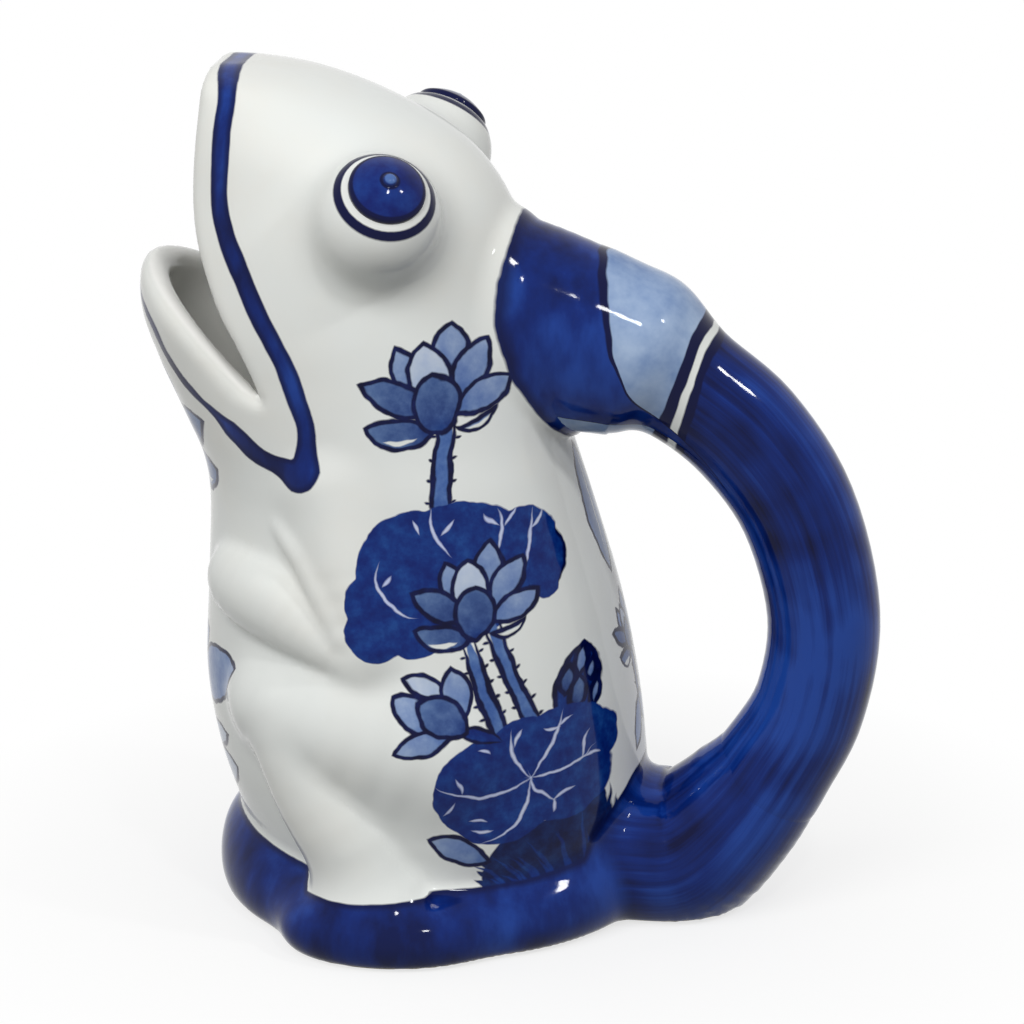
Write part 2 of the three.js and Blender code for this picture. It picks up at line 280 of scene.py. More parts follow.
@dataclass
class HandlePath:
    """The bow of the handle: reach to the back, height, half height and half width, in mm."""

    rows: Rows = (
        (12, 168, 32, 26), (31, 165.5, 28.5, 25), (53, 160.5, 24.5, 23.5), (62.5, 157.5, 22.7, 22.5),
        (73, 151.2, 17.7, 17.6), (89.8, 137.8, 17.2, 16.9), (104.3, 116.5, 16.6, 16.4), (112, 87, 16.1, 16.1),
        (109, 61, 16.1, 16.1), (100, 42.5, 16.5, 16.7), (89, 26.3, 19, 21.5), (75.5, 15, 21.8, 27.5),
        (57, 14, 22.5, 29),
    )
    steps: int = 6
    # By row of the path: how far the roots draw in under the loop, and how far the inner bend swells.
    taper: Rows = ((2, 0), (3, 1.6), (8.6, 1.6), (9.1, 0))
    web: Rows = ((9, 0), (9.6, 2.2), (10.3, 2), (11, 0.4))

    def __post_init__(self) -> None:
        """Draws the path once."""
        self.path = through(self.rows, self.steps)
        runs = np.linalg.norm(np.diff(self.path[:, :2], axis=0), axis=1)
        self.reach = np.concatenate([[0], np.cumsum(runs)])

    def strokes(self, p: np.ndarray, first: float) -> np.ndarray:
        """Finds where points lie along and around the handle, which its brush marks follow.

        Args:
            p: Points in mm.
            first: The row where the stretch starts.

        Returns:
            Reach along the path in m, and the cosine and sine of the turn from its outer side.
        """
        start = round(first * self.steps)
        line = self.path[start:]
        _, place, offset = along_line(p[:, 0], p[:, 2], line[:, :2])
        spot = np.clip(place, 0, len(line) - 1)
        columns = (line[:, 2], line[:, 3], self.reach[start:])
        tall, wide, reach = (np.interp(spot, np.arange(len(line)), column) for column in columns)
        u, v = offset / tall, p[:, 1] / wide
        ratio = np.hypot(u, v) + TINY
        return np.column_stack([reach * MM, u / ratio, v / ratio])

    def distance(self, p: np.ndarray, first: float, last: float) -> np.ndarray:
        """Measures the distance to a stretch of the handle that draws in where the loop takes over.

        Args:
            p: Points in mm.
            first: The row where the stretch starts.
            last: The row where it ends.

        Returns:
            Signed distances.
        """
        line = self.path[round(first * self.steps) : round(last * self.steps) + 1]
        _, place, offset = along_line(p[:, 0], p[:, 2], line[:, :2])
        spot = np.clip(place, 0, len(line) - 1)
        row = first + spot / self.steps
        inset = np.interp(row, *zip(*self.taper))
        tall, wide = (np.interp(spot, np.arange(len(line)), line[:, i]) - inset for i in (2, 3))
        tall += np.where(offset < 0, np.interp(row, *zip(*self.web)), 0)
        tube = oval_gap(offset, p[:, 1], tall, wide)
        run = np.linalg.norm(np.diff(line[:, :2], axis=0), axis=1)
        past = np.maximum(-place * run[0], (place - len(line) + 1) * run[-1])
        return np.maximum(tube, past)


@dataclass
class ClayBody:
    """The modelled clay as one distance field, in mm, with the frog looking along -X as in the part's source."""

    body: OvalStack = field(
        default_factory=lambda: OvalStack(
            (
                (4, 43, 54, 44), (14, 48, 59, 49.5), (30, 54, 63, 54), (46, 59, 62.5, 55.5),
                (66, 62, 60, 55), (90, 61.2, 55, 51.5), (115, 60.3, 47.5, 48), (128, 62, 43.3, 47),
                (140, 67.2, 39.5, 46), (156, 74.5, 36, 45.5), (171, 79, 32.5, 45), (190, 77.5, 28, 42.5),
                (205, 74, 21.5, 39), (217, 71, 10.5, 35), (226.5, 69, -6.5, 28.5), (233, 68, -23.5, 21.5),
                (237.5, 66, -42, 11),
            )
        )
    )
    plinth: OvalStack = field(
        default_factory=lambda: OvalStack(
            (
                (0, 55, 63, 58), (3, 57.8, 66, 60), (8, 59, 68, 60.5), (14, 58.8, 68.5, 57),
                (20, 57, 67.5, 50), (26, 52.5, 65, 44), (32, 44, 60, 36),
            )
        )
    )
    arm: Limb = field(
        default_factory=lambda: Limb(((78, 128, 13, 2.5), (80, 108, 13.5, 4.5), (85, 86, 9.5, 4)), 6)
    )
    forearm: Limb = field(
        default_factory=lambda: Limb(
            ((84, 81, 5, 2.5), (72, 88, 9, 5), (58, 95, 13.5, 7), (40, 97.5, 13, 6), (33, 98, 11, 3)), 1.6
        )
    )
    fold: Limb = field(
        default_factory=lambda: Limb(
            ((61, 117, 2.2, 0.4), (66, 113, 2.8, 2.6), (70, 109, 3, 3.6), (75, 100.5, 3, 4.6), (80, 90, 2.4, 4.2)),
            2.6,
        )
    )
    thigh: Limb = field(
        default_factory=lambda: Limb(((52, 66, 13, 6), (70, 62, 19, 6.5), (100, 55, 23, 4)), 7)
    )
    shin: Limb = field(
        default_factory=lambda: Limb(((58, 66, 14, 6.5), (67, 42, 15, 8), (78, 18, 15.5, 10)), 2)
    )
    handle: HandlePath = field(default_factory=HandlePath)
    # The mouth: both rims in the side view, how far the lips swell and how round their edges are.
    upper_rim: Rows = ((-37.5, 153), (-39.5, 158), (-43.5, 166), (-51.5, 180.5), (-58, 203), (-57.5, 238))
    lower_rim: Rows = ((-37.5, 153), (-46, 159.8), (-60, 172), (-78, 186))
    rim_steps: int = 8
    rim_ahead: float = 90.0
    rim_above: float = 60.0
    upper_bulge: float = 0.5
    lower_bulge: float = 3.0
    outer_share: float = -0.06
    lip_reach: float = 8.0
    lip_turn: Pair = (-4, 2)
    lower_round: float = 7.0
    upper_round: float = 3.0
    inner_round: float = 2.8
    # The vessel's wall, floor and crown, and the recess under its foot.
    wall: float = 6.0
    floor_top: float = 9.0
    floor_round: float = 8.0
    crown: float = 237.3
    crown_round: float = 5.0
    inner_crown_round: float = 6.0
    neck: float = 138.0
    foot_round: float = 1.2
    recess_inset: float = 7.0
    recess_top: float = 4.0
    recess_round: float = 1.5
    # Feet and skirt.
    foot_centre: Triple = (-4, 55, 6)
    foot_half: Triple = (24.5, 13.8, 10.2)
    foot_blend: float = 14.0
    skirt_top: float = 30.0
    skirt_round: float = 4.0
    skirt_blend: float = 3.0
    limb_top: float = 145.0
    # Eye mounds.
    eye_centre: Triple = (-0.5, 47.5, 214)
    eye_direction: Triple = (0.31, 0.62, 0.72)
    mound_radius: float = 17.0
    mound_depth: float = 13.5
    mound_top: float = 0.4
    mound_round: float = 3.0
    mound_blend: float = 11.0
    # Roots of the handle: rows of its path at the collar and at the foot, and the collar's rolled edge.
    collar_rows: Pair = (0, 3)
    root_rows: Pair = (8.5, 12)
    root_front: float = -15.0
    root_far: float = 60.0
    root_split: float = 80.0
    collar_blend: float = 2.5
    root_blend: float = 4.0
    collar_roll: float = 2.0
    collar_reach: float = 4.0
    # Keeps the skin inside the solids' outline.
    inset: float = 0.28

    def __post_init__(self) -> None:
        """Works out the rim lines, the limbs' sections and the eye's axis."""
        upper, lower = (through(rim, self.rim_steps) for rim in (self.upper_rim, self.lower_rim))
        last = lower[-1] - lower[-2]
        ahead = lower[-1] + last / np.linalg.norm(last) * self.rim_ahead
        above = upper[-1] + np.array([0, self.rim_above])
        self.rim = np.vstack([ahead, lower[::-1], upper[1:], above])
        self.corner = len(lower)
        limbs = (self.thigh, self.shin, self.arm, self.forearm, self.fold)
        self.limbs = [(limb.beads(self.body), limb.blend) for limb in limbs]
        axis = np.array(self.eye_direction)
        self.eye_axis = axis / np.linalg.norm(axis)

    def mouth(self, p: np.ndarray) -> tuple[np.ndarray, np.ndarray]:
        """Measures the distance to the open mouth in the side view.

        Args:
            p: Points in mm.

        Returns:
            Signed distances, negative in the opening, and the place along the rim from the lower lip to the upper.
        """
        gap, place, _ = along_line(p[:, 0], p[:, 2], self.rim)
        lower, upper = self.rim[: self.corner + 1], self.rim[self.corner :]
        behind = p[:, 0] > np.interp(p[:, 2], upper[:, 1], upper[:, 0])
        below = p[:, 2] < np.interp(p[:, 0], lower[:, 0], lower[:, 1])
        return np.where(behind | below, gap, -gap), place

    def core(self, p: np.ndarray) -> np.ndarray:
        """Distance to the outer skin of the bare vessel."""
        return soft_max(self.body.distance(p), p[:, 2] - self.crown, self.crown_round)

    def hollow(self, p: np.ndarray) -> np.ndarray:
        """Measures the distance to the inside of the vessel.

        Args:
            p: Points in mm.

        Returns:
            Signed distances, negative in the hollow.
        """
        share = np.clip((p[:, 2] - self.neck) / (self.crown - self.neck), 0, 1)
        lifted = p + np.array([0, 0, 1]) * (self.wall * share)[:, None]
        over = lifted[:, 2] - self.crown
        inner = soft_max(self.body.distance(lifted, -self.wall), over, self.inner_crown_round)
        return soft_max(inner, self.floor_top - p[:, 2], self.floor_round)

    def feet(self, folded: np.ndarray) -> np.ndarray:
        """Measures the distance to the hind foot.

        Args:
            folded: Points in mm, folded onto the right side.

        Returns:
            Signed distances.
        """
        u = (folded - np.array(self.foot_centre)) / np.array(self.foot_half)
        ratio = np.linalg.norm(u, axis=1) + TINY
        return (ratio - 1) * ratio / np.maximum(np.linalg.norm(u / np.array(self.foot_half), axis=1), TINY)

    def skirt(self, p: np.ndarray) -> np.ndarray:
        """Distance to the plinth under the body."""
        return soft_max(self.plinth.distance(p), p[:, 2] - self.skirt_top, self.skirt_round)

    def stubs(self, p: np.ndarray) -> np.ndarray:
        """Measures the distance to the two ends of the handle that are modelled onto the body.

        Args:
            p: Points in mm.

        Returns:
            Signed distances, and a large number far in front of the handle.
        """
        near = p[:, 0] > self.root_front
        gap = np.full(len(p), self.root_far)
        some = p[near]
        roll = self.collar_roll * np.exp(-((self.body.distance(some) / self.collar_reach) ** 4))
        collar = self.handle.distance(some, *self.collar_rows) - roll
        gap[near] = np.minimum(collar, self.handle.distance(some, *self.root_rows))
        return gap

    def mounds(self, folded: np.ndarray) -> np.ndarray:
        """Measures the distance to the eye's mound.

        Args:
            folded: Points in mm, folded onto the right side.

        Returns:
            Signed distances.
        """
        middle = np.array(self.eye_centre) - self.eye_axis * self.mound_depth
        ball = np.linalg.norm(folded - middle, axis=1) - self.mound_radius
        top = (folded - np.array(self.eye_centre)) @ self.eye_axis
        return soft_max(ball, top - self.mound_top, self.mound_round)

    def distance(self, p: np.ndarray) -> np.ndarray:
        """Measures how far points are outside the modelled clay.

        Args:
            p: Points in mm.

        Returns:
            Signed distances, negative in the clay.
        """
        folded = fold_over(p)
        gap, place = self.mouth(p)
        turn = [self.corner + row for row in self.lip_turn]
        swell = np.interp(place, turn, [self.lower_bulge, self.upper_bulge])
        bulge = swell * np.exp(-((gap / self.lip_reach) ** 2))
        solid = self.core(p) - self.outer_share * bulge
        low = p[:, 2] < self.limb_top
        some = folded[low]
        part = solid[low]
        for beads, blend in self.limbs:
            part = soft_min(part, bead_chain(some, beads), blend)
        solid[low] = part
        solid = soft_min(solid, self.mounds(folded), self.mound_blend)
        rooted = np.where(p[:, 2] > self.root_split, self.collar_blend, self.root_blend)
        solid = soft_min(solid, self.stubs(p), rooted)
        solid = soft_min(solid, self.skirt(p), self.skirt_blend)
        solid = soft_min(solid, self.feet(folded), self.foot_blend)
        edge = np.interp(place, turn, [self.lower_round, self.upper_round])
        solid = soft_max(solid, -gap, edge)
        solid = soft_max(solid, -(self.hollow(p) + bulge), self.inner_round)
        solid = soft_max(solid, -p[:, 2], self.foot_round)
        recess = soft_max(self.body.distance(p, -self.recess_inset), p[:, 2] - self.recess_top, self.recess_round)
        return soft_max(solid, -recess, self.recess_round) + self.inset


@dataclass
class SurfaceNet:
    """Turns a distance field into a mesh of even quads."""

    clay: ClayBody
    low: Pair
    high: Pair
    half: float
    step: float
    slabs: int = 24
    rounds: int = 3
    probe: float = 0.15
    flattest: float = 0.2
    longest: float = 0.8

    def __post_init__(self) -> None:
        """Lays out the grid between the lowest and highest x and z, and to half the width on both sides."""
        self.x = np.arange(self.low[0], self.high[0], self.step)
        self.z = np.arange(self.low[1], self.high[1], self.step)
        count = math.ceil(self.half / self.step)
        self.y = (np.arange(2 * count + 1) - count) * self.step

    def values(self) -> np.ndarray:
        """Samples the field on one half of the grid and mirrors it.

        Returns:
            The distances on the grid, by x, y and z.
        """
        right = self.y[len(self.y) // 2 :]
        slabs = []
        for z in np.array_split(self.z, self.slabs):
            grid = np.stack(np.meshgrid(self.x, right, z, indexing="ij"), axis=-1)
            slabs.append(self.clay.distance(grid.reshape(-1, 3)).reshape(grid.shape[:3]))
        half = np.concatenate(slabs, axis=2)
        return np.concatenate([half[:, :0:-1], half], axis=1)

    def mesh(self) -> tuple[np.ndarray, np.ndarray]:
        """Builds the quads and draws their corners onto the field's surface.

        Returns:
            Vertices in mm, and quads as vertex numbers.
        """
        values = self.values()
        inside = values < 0
        shape = np.array(values.shape) - 1
        corners = [(i, j, k) for i in (0, 1) for j in (0, 1) for k in (0, 1)]
        cut = [slice(0, -1), slice(1, None)]
        total = sum(inside[cut[i], cut[j], cut[k]].astype(np.int8) for i, j, k in corners)
        active = np.argwhere((total > 0) & (total < 8))
        number = np.full(shape, -1)
        number[tuple(active.T)] = np.arange(len(active))
        place = np.zeros((len(active), 3))
        weight = np.zeros((len(active), 1))
        for a in corners:
            for axis in range(3):
                if a[axis]:
                    continue
                b = tuple(1 if n == axis else v for n, v in enumerate(a))
                start = values[tuple((active + a).T)]
                end = values[tuple((active + b).T)]
                crossed = (start < 0) != (end < 0)
                share = np.where(crossed, start / np.where(crossed, start - end, 1), 0)
                point = np.array(a, float) + np.eye(3)[axis] * share[:, None]
                place += np.where(crossed[:, None], point, 0)
                weight += crossed[:, None]
        origin = np.array([self.x[0], self.y[0], self.z[0]])
        points = origin + (active + place / weight) * self.step
        quads = []
        for axis in range(3):
            one, two = (axis + 1) % 3, (axis + 2) % 3
            ahead = [slice(None)] * 3
            ahead[axis] = slice(1, None)
            behind = [slice(None)] * 3
            behind[axis] = slice(0, -1)
            flips = inside[tuple(behind)] != inside[tuple(ahead)]
            edge = np.argwhere(flips)
            for side in (one, two):
                edge = edge[(edge[:, side] > 0) & (edge[:, side] < shape[side])]
            ring = []
            for back_one, back_two in ((1, 1), (0, 1), (0, 0), (1, 0)):
                cell = edge.copy()
                cell[:, one] -= back_one
                cell[:, two] -= back_two
                ring.append(number[tuple(cell.T)])
            ring = np.stack(ring, axis=1)
            outward = inside[tuple(edge.T)]
            quads.append(np.where(outward[:, None], ring, ring[:, ::-1]))
        faces = np.vstack(quads)
        return self.settle(points, faces), faces

    def settle(self, points: np.ndarray, faces: np.ndarray) -> np.ndarray:
        """Evens out the corners and draws them onto the surface.

        Args:
            points: Vertices in mm.
            faces: Quads as vertex numbers.

        Returns:
            The moved vertices.
        """
        edges = np.vstack([faces[:, [i, (i + 1) % 4]] for i in range(4)])
        count = np.bincount(edges.ravel(), minlength=len(points))[:, None]
        for _ in range(self.rounds):
            total = np.zeros_like(points)
            for axis in range(3):
                for here, there in ((0, 1), (1, 0)):
                    total[:, axis] += np.bincount(edges[:, here], points[edges[:, there], axis], len(points))
            points = 0.5 * points + 0.5 * total / count
            points = self.onto(points)
        return self.onto(points)

    def onto(self, points: np.ndarray) -> np.ndarray:
        """Moves points along the field's slope onto its surface.

        Args:
            points: Vertices in mm.

        Returns:
            The moved vertices.
        """
        gap = self.clay.distance(points)
        steps = np.eye(3) * self.probe
        rise = [self.clay.distance(points + d) - self.clay.distance(points - d) for d in steps]
        slope = np.stack(rise, axis=1) / (2 * self.probe)
        steep = np.maximum((slope**2).sum(axis=1), self.flattest)
        return points - np.clip(gap / steep, -self.longest, self.longest)[:, None] * slope


def mesh_object(name: str, points: np.ndarray, faces: Any) -> bpy.types.Object:
    """Makes a smooth mesh object at the origin.

    Args:
        name: The piece's name.
        points: Vertices in mm, in the row's frame.
        faces: Vertex numbers of each face.

    Returns:
        The linked object.
    """
    data = bpy.data.meshes.new(name)
    data.from_pydata((np.asarray(points, float) * MM).tolist(), [], [list(map(int, f)) for f in faces])
    data.polygons.foreach_set("use_smooth", [True] * len(data.polygons))
    data.update()
    made = bpy.data.objects.new(name, data)
    bpy.context.scene.collection.objects.link(made)
    return made


def store(piece: bpy.types.Object, name: str, values: np.ndarray) -> None:
    """Keeps one number or one vector per vertex on a mesh for its material to read.

    Args:
        piece: The object.
        name: What the material calls the values.
        values: One row per vertex.
    """
    kind, key = ("FLOAT", "value") if values.ndim == 1 else ("FLOAT_VECTOR", "vector")
    layer = piece.data.attributes.new(name, kind, "POINT")
    layer.data.foreach_set(key, np.asarray(values, np.float32).ravel())


class Tone(Enum):
    """The brush tones of the painting, from bare glaze to the darkest line."""

    BARE = "#E3E6E3"
    VEIN = "#C3CBE8"
    PALE = "#9DB0CE"
    WASH = "#4A6AA6"
    MID = "#0F3074"
    LEAF = "#072D78"
    DEEP = "#031A52"
    LINE = "#02093C"

    def thinned(self) -> str:
        """Names the colour that a stroke of this tone runs out to at a petal's tip."""
        return {Tone.MID: "#607CAA", Tone.WASH: "#97ABCE", Tone.PALE: "#C8D2E2"}.get(self, self.value)


@dataclass(frozen=True)
class Stroke:
    """One shape of the brush: two arcs between a base and a tip, in mm on the painted plane."""

    base: Pair
    tip: Pair
    left: float
    right: float
    tone: Tone
    outlined: bool = False
    trim: float = 1.0
    flattest: float = 0.004
    trim_seat: float = 0.98

    def touches(self, low: float, high: float) -> bool:
        """Tells whether the shape reaches into a range of heights.

        Args:
            low: The range's lower end in mm.
            high: Its upper end.

        Returns:
            Whether it does.
        """
        wide = max(abs(self.left), abs(self.right))
        return min(self.base[1], self.tip[1]) - wide < high and max(self.base[1], self.tip[1]) + wide > low

    def discs(self) -> tuple[list[Pair], list[float], float]:
        """Works out the discs whose overlap is the shape.

        Returns:
            The centres and radii of the left arc, the right arc and the round trim, and the right arc's sign.
        """
        base, tip = np.array(self.base, float), np.array(self.tip, float)
        left, right = self.left, self.right
        if left < 0:
            base, tip, left, right = tip, base, right, left
        run = tip - base
        length = float(np.linalg.norm(run))
        aside = np.array([-run[1], run[0]]) / length
        middle = (base + tip) / 2
        centres, radii = [], []
        for sag, hand in ((left, 1), (right, -1)):
            bow = max(abs(sag), self.flattest * length)
            radius = (length**2 / 4 + bow**2) / (2 * bow)
            facing = hand if sag >= 0 else -hand
            centres.append(tuple(middle - aside * facing * (radius - bow)))
            radii.append(radius)
        reach = self.trim * length
        centres.append(tuple(tip - run / length * min(reach, length) * self.trim_seat))
        radii.append(reach if self.trim < 1 else 2 * length)
        return centres, radii, 1.0 if right >= 0 else -1.0


def hair(base: Pair, tip: Pair, bend: float, width: float, tone: Tone) -> Stroke:
    """Draws a thin line that bends to its left and thins out to both ends."""
    return Stroke(base, tip, bend + width / 2, width / 2 - bend, tone)


@dataclass(frozen=True)
class Place:
    """Where a motif sits on the painted plane: its seat, its size and its lean to the left in degrees."""

    x: float
    z: float
    size: float = 1.0
    lean: float = 0.0
    mirror: float = 1.0
    fullness: float = 1.15

    def at(self, point: Pair) -> Pair:
        """Carries a point of the motif onto the plane.

        Args:
            point: Across and up, in the motif's own size.

        Returns:
            The point on the plane, in mm.
        """
        turn = math.radians(self.lean)
        x, z = point[0] * self.mirror * self.size, point[1] * self.size
        across = x * math.cos(turn) - z * math.sin(turn)
        up = x * math.sin(turn) + z * math.cos(turn)
        return (self.x + across, self.z + up)

    def shape(self, base: Pair, tip: Pair, left: float, right: float, tone: Tone, trim: float = 1.0) -> Stroke:
        """Carries an outlined petal onto the plane.

        Args:
            base: Where the petal starts.
            tip: Where it ends.
            left: How far it bows out to the left.
            right: How far it bows out to the right.
            tone: Its paint.
            trim: Radius of its rounded tip as a share of its length, or 1 for a pointed one.

        Returns:
            The brush shape.
        """
        a, b = (left, right) if self.mirror > 0 else (right, left)
        full = self.size * self.fullness
        return Stroke(self.at(base), self.at(tip), a * full, b * full, tone, True, trim)

    def line(self, base: Pair, tip: Pair, bend: float, width: float, tone: Tone) -> Stroke:
        """Carries a thin line onto the plane."""
        return hair(self.at(base), self.at(tip), bend * self.mirror * self.size, width, tone)


@dataclass(frozen=True)
class LotusPainting:
    """Lotus flowers, buds, leaves and thorned stems, brushed in tones of cobalt, from back to front."""

    leaf_rim: float = 0.8
    leaf_vein: float = 0.8
    high_leaf_vein: float = 0.85
    side_vein: float = 0.75
    side_vein_bend: float = 0.3
    stem_fill: float = 2.6
    stem_edge: float = 1.5
    thorn_width: float = 0.9
    thorn_seat: float = 1.1
    thorn_out: float = 1.5
    thorn_up: float = 0.5
    first_thorn: float = 0.6
    blades: int = 24
    tufts: int = 5

    def flower(self, place: Place) -> list[Stroke]:
        """Draws an open flower from the back petals to the front one.

        Args:
            place: Where it sits.

        Returns:
            The strokes.
        """
        petals = (
            ((1.5, 9), (1.5, 27.5), 4.3, 4.3, Tone.WASH),
            ((-5.5, 6), (-11.5, 21.8), 3.3, 4.2, Tone.WASH),
            ((4, 6), (10.6, 22), 4.6, 3.6, Tone.WASH),
            ((-1.5, 4), (-4.6, 22.6), 5.0, 4.8, Tone.PALE),
            ((-2, 3.5), (-21, 12), 3.6, 4.4, Tone.MID),
            ((3, 3), (16.5, 12), 3.6, 4.2, Tone.WASH),
            ((-1, -0.5), (-19, 1), 5.6, 2.6, Tone.MID),
            ((3, 0), (13, 4), -0.4, 3.4, Tone.WASH),
        )
        drawn = [place.shape(*petal) for petal in petals]
        drawn.append(place.line((-6, -2.6), (-14, -3.2), 0.9, 1.5, Tone.BARE))
        drawn.append(place.line((6, -0.6), (11.6, 1.6), -0.8, 1.0, Tone.BARE))
        drawn.append(place.shape((0, -2.5), (-2.3, 14.5), 5.4, 5.4, Tone.MID, 0.9))
        return drawn

    def open_bud(self, place: Place) -> list[Stroke]:
        """Draws a half-open bud that leans to the left.

        Args:
            place: Where it sits.

        Returns:
            The strokes.
        """
        petals = (
            ((-4.5, 7), (-18, 12.5), 2.4, 3.4, Tone.PALE),
            ((-1, 1), (-4.8, 15.8), 3.8, 3.6, Tone.WASH),
            ((-8, -2), (-20.4, 7.6), 3.2, 4.6, Tone.WASH),
            ((-2.5, -2), (-19.4, -6.8), 3.2, 3.6, Tone.WASH),
            ((0.5, -2), (-13.6, 6.6), 4.4, 4.8, Tone.MID),
        )
        return [place.shape(*petal) for petal in petals]

    def tight_bud(self, place: Place) -> list[Stroke]:
        """Draws an upright closed bud of overlapping scales.

        Args:
            place: Where it sits.

        Returns:
            The strokes.
        """
        petals = (
            ((0.2, -6), (2.2, 17.4), 5.0, 4.8, Tone.LEAF),
            ((1.3, 7.5), (2.3, 17), 1.9, 1.8, Tone.WASH),
            ((-1.8, 3.5), (-0.8, 12.8), 1.9, 1.8, Tone.MID),
            ((4.4, 5), (4.4, 12.4), 1.5, 1.5, Tone.WASH),
            ((1.2, -1), (1.6, 9), 2.3, 2.2, Tone.MID),
            ((5.4, -2), (5.5, 6.6), 1.5, 1.5, Tone.WASH),
        )
        return [place.shape(*petal) for petal in petals]

    def stem(self, foot: Pair, top: Pair, bend: float, half: float, thorns: int) -> list[Stroke]:
        """Draws a stem with two dark edges and thorns along them.

        Args:
            foot: Its lower end.
            top: Its upper end.
            bend: How far it bends to the left.
            half: Half its thickness.
            thorns: How many thorns each edge has.

        Returns:
            The strokes.
        """
        low, high = np.array(foot, float), np.array(top, float)
        run = (high - low) / np.linalg.norm(high - low)
        aside = np.array([-run[1], run[0]])
        drawn = [hair(foot, top, bend, self.stem_fill * half, Tone.WASH)]
        for hand in (1, -1):
            edge = aside * hand * half
            drawn.append(hair(tuple(low + edge), tuple(high + edge), bend, self.stem_edge, Tone.LINE))
            for i in range(thorns):
                share = (i + self.first_thorn) / thorns
                bow = aside * bend * 4 * share * (1 - share)
                spot = low + (high - low) * share + bow + edge * self.thorn_seat
                tip = spot + aside * hand * self.thorn_out + run * self.thorn_up
                drawn.append(hair(tuple(spot), tuple(tip), 0, self.thorn_width, Tone.LINE))
        return drawn

    def lobes(self, rows: Rows) -> list[Stroke]:
        """Draws the dark rim and the wash of a leaf made of round lobes.

        Args:
            rows: Base, tip and half width of each lobe.

        Returns:
            The strokes, all rims before all washes.
        """
        drawn = []
        for grow, tone in ((self.leaf_rim, Tone.LINE), (0, Tone.LEAF)):
            drawn += [Stroke((a, b), (c, d), w + grow, w + grow, tone) for a, b, c, d, w in rows]
        return drawn

    def grass(self) -> list[Stroke]:
        """Draws the dark tuft of grass at the foot of the side, with its blades fanned out.

        Returns:
            The strokes.
        """
        drawn = [Stroke((26, 12), (59.5, 15), 24, 8, Tone.DEEP), Stroke((43, 12), (54, 43), 9.5, 7, Tone.DEEP)]
        for i in range(self.blades):
            share = i / (self.blades - 1)
            lean = math.radians(58 - 80 * share + 8 * math.sin(4.3 * i))
            foot = (33 + 24 * share, 12 + 3 * math.sin(2.1 * i))
            length = 13 + 10 * share + 3 * math.sin(1.7 * i)
            tip = (foot[0] - length * math.sin(lean), foot[1] + length * math.cos(lean))
            drawn.append(hair(foot, tip, 1.6 * share - 1.6, 0.9 + 0.3 * (i % 2), Tone.LEAF))
        for i in range(self.tufts):
            tip = (54.5 + 1.5 * i, 43 - 2.4 * i + 2 * (i % 2))
            drawn.append(hair((28, 14 + 2.6 * i), (21 + 0.8 * i, 15.5 + 2.8 * i), 0.4, 1.7, Tone.DEEP))
            drawn.append(hair((55 + 0.9 * i, 24), tip, -0.3, 1.3, Tone.DEEP))
        return drawn

    def high_leaf(self) -> list[Stroke]:
        """Draws the leaf under the side's upper flower.

        Returns:
            The strokes.
        """
        drawn = self.lobes(
            (
                (-2, 108, 36, 108, 19), (-9.3, 110, 21.3, 110, 15.3), (-12, 101, 8, 101, 10),
                (-11.8, 93.4, 5.8, 93.4, 8.8), (-2, 94, 16, 94, 9), (23.4, 114.5, 40.6, 114.5, 8.6),
                (35, 119, 40.4, 98.5, 5), (36.8, 100.8, 42.2, 100.8, 2.7),
            )
        )
        for base, tip, bend in (
            ((10, 125), (15, 113), -1.4), ((27, 123), (27.5, 113), 0.8), ((23.5, 123), (27, 119.5), -0.6),
            ((35, 121), (33, 106), 0.6), ((37.5, 121), (35, 117), 0.4), ((-3.4, 110), (6, 96.5), -3.4),
            ((5.8, 122.5), (7, 118.8), 0), ((15.6, 122), (12.8, 118.4), 0), ((31, 123), (28.8, 119.6), 0),
            ((0.2, 107.5), (-1.8, 105), 0),
        ):
            drawn.append(hair(base, tip, bend, self.high_leaf_vein, Tone.VEIN))
        return drawn

    def low_leaf(self) -> list[Stroke]:
        """Draws the leaf over the grass, with the bud that leans out beside it.

        Returns:
            The strokes.
        """
        drawn = self.lobes(
            (
                (12.6, 48, 44.6, 48, 16), (32.7, 56.5, 57.3, 56.5, 12.3), (24.5, 56, 47.5, 56, 11.5),
                (33.5, 48, 56.5, 48, 11.5),
            )
        )
        drawn += [hair((18, 66.5), (30, 62), 0.4, w, tone) for w, tone in ((4.4, Tone.LINE), (2.4, Tone.LEAF))]
        drawn += self.open_bud(Place(21, 67.5))
        hub = (37, 50.5)
        for tip, bend in (
            ((14.2, 50.5), 3.6), ((25.6, 33), 4.0), ((43, 43), -0.8), ((51.5, 54.5), -1.2),
            ((44.5, 66.5), -1.2), ((32, 63), 1.4),
        ):
            drawn.append(hair(hub, tip, bend, self.leaf_vein, Tone.VEIN))
        for base, tip in (
            ((33, 59.5), (34.6, 64)), ((44, 63), (40.5, 63.4)), ((44, 63.4), (47, 65.6)),
            ((49.6, 53.6), (51, 60)), ((50, 53.4), (53.6, 52.6)), ((43, 43), (42.6, 39.6)),
            ((43, 43), (48, 45)), ((27.4, 36.6), (22.2, 36.7)), ((19.1, 52.9), (20, 48.6)),
            ((18, 45.7), (15.2, 42.4)), ((24.4, 60.2), (26.9, 59.1)), ((22, 40), (25.9, 39.1)),
        ):
            drawn.append(hair(base, tip, self.side_vein_bend, self.side_vein, Tone.VEIN))
        return drawn

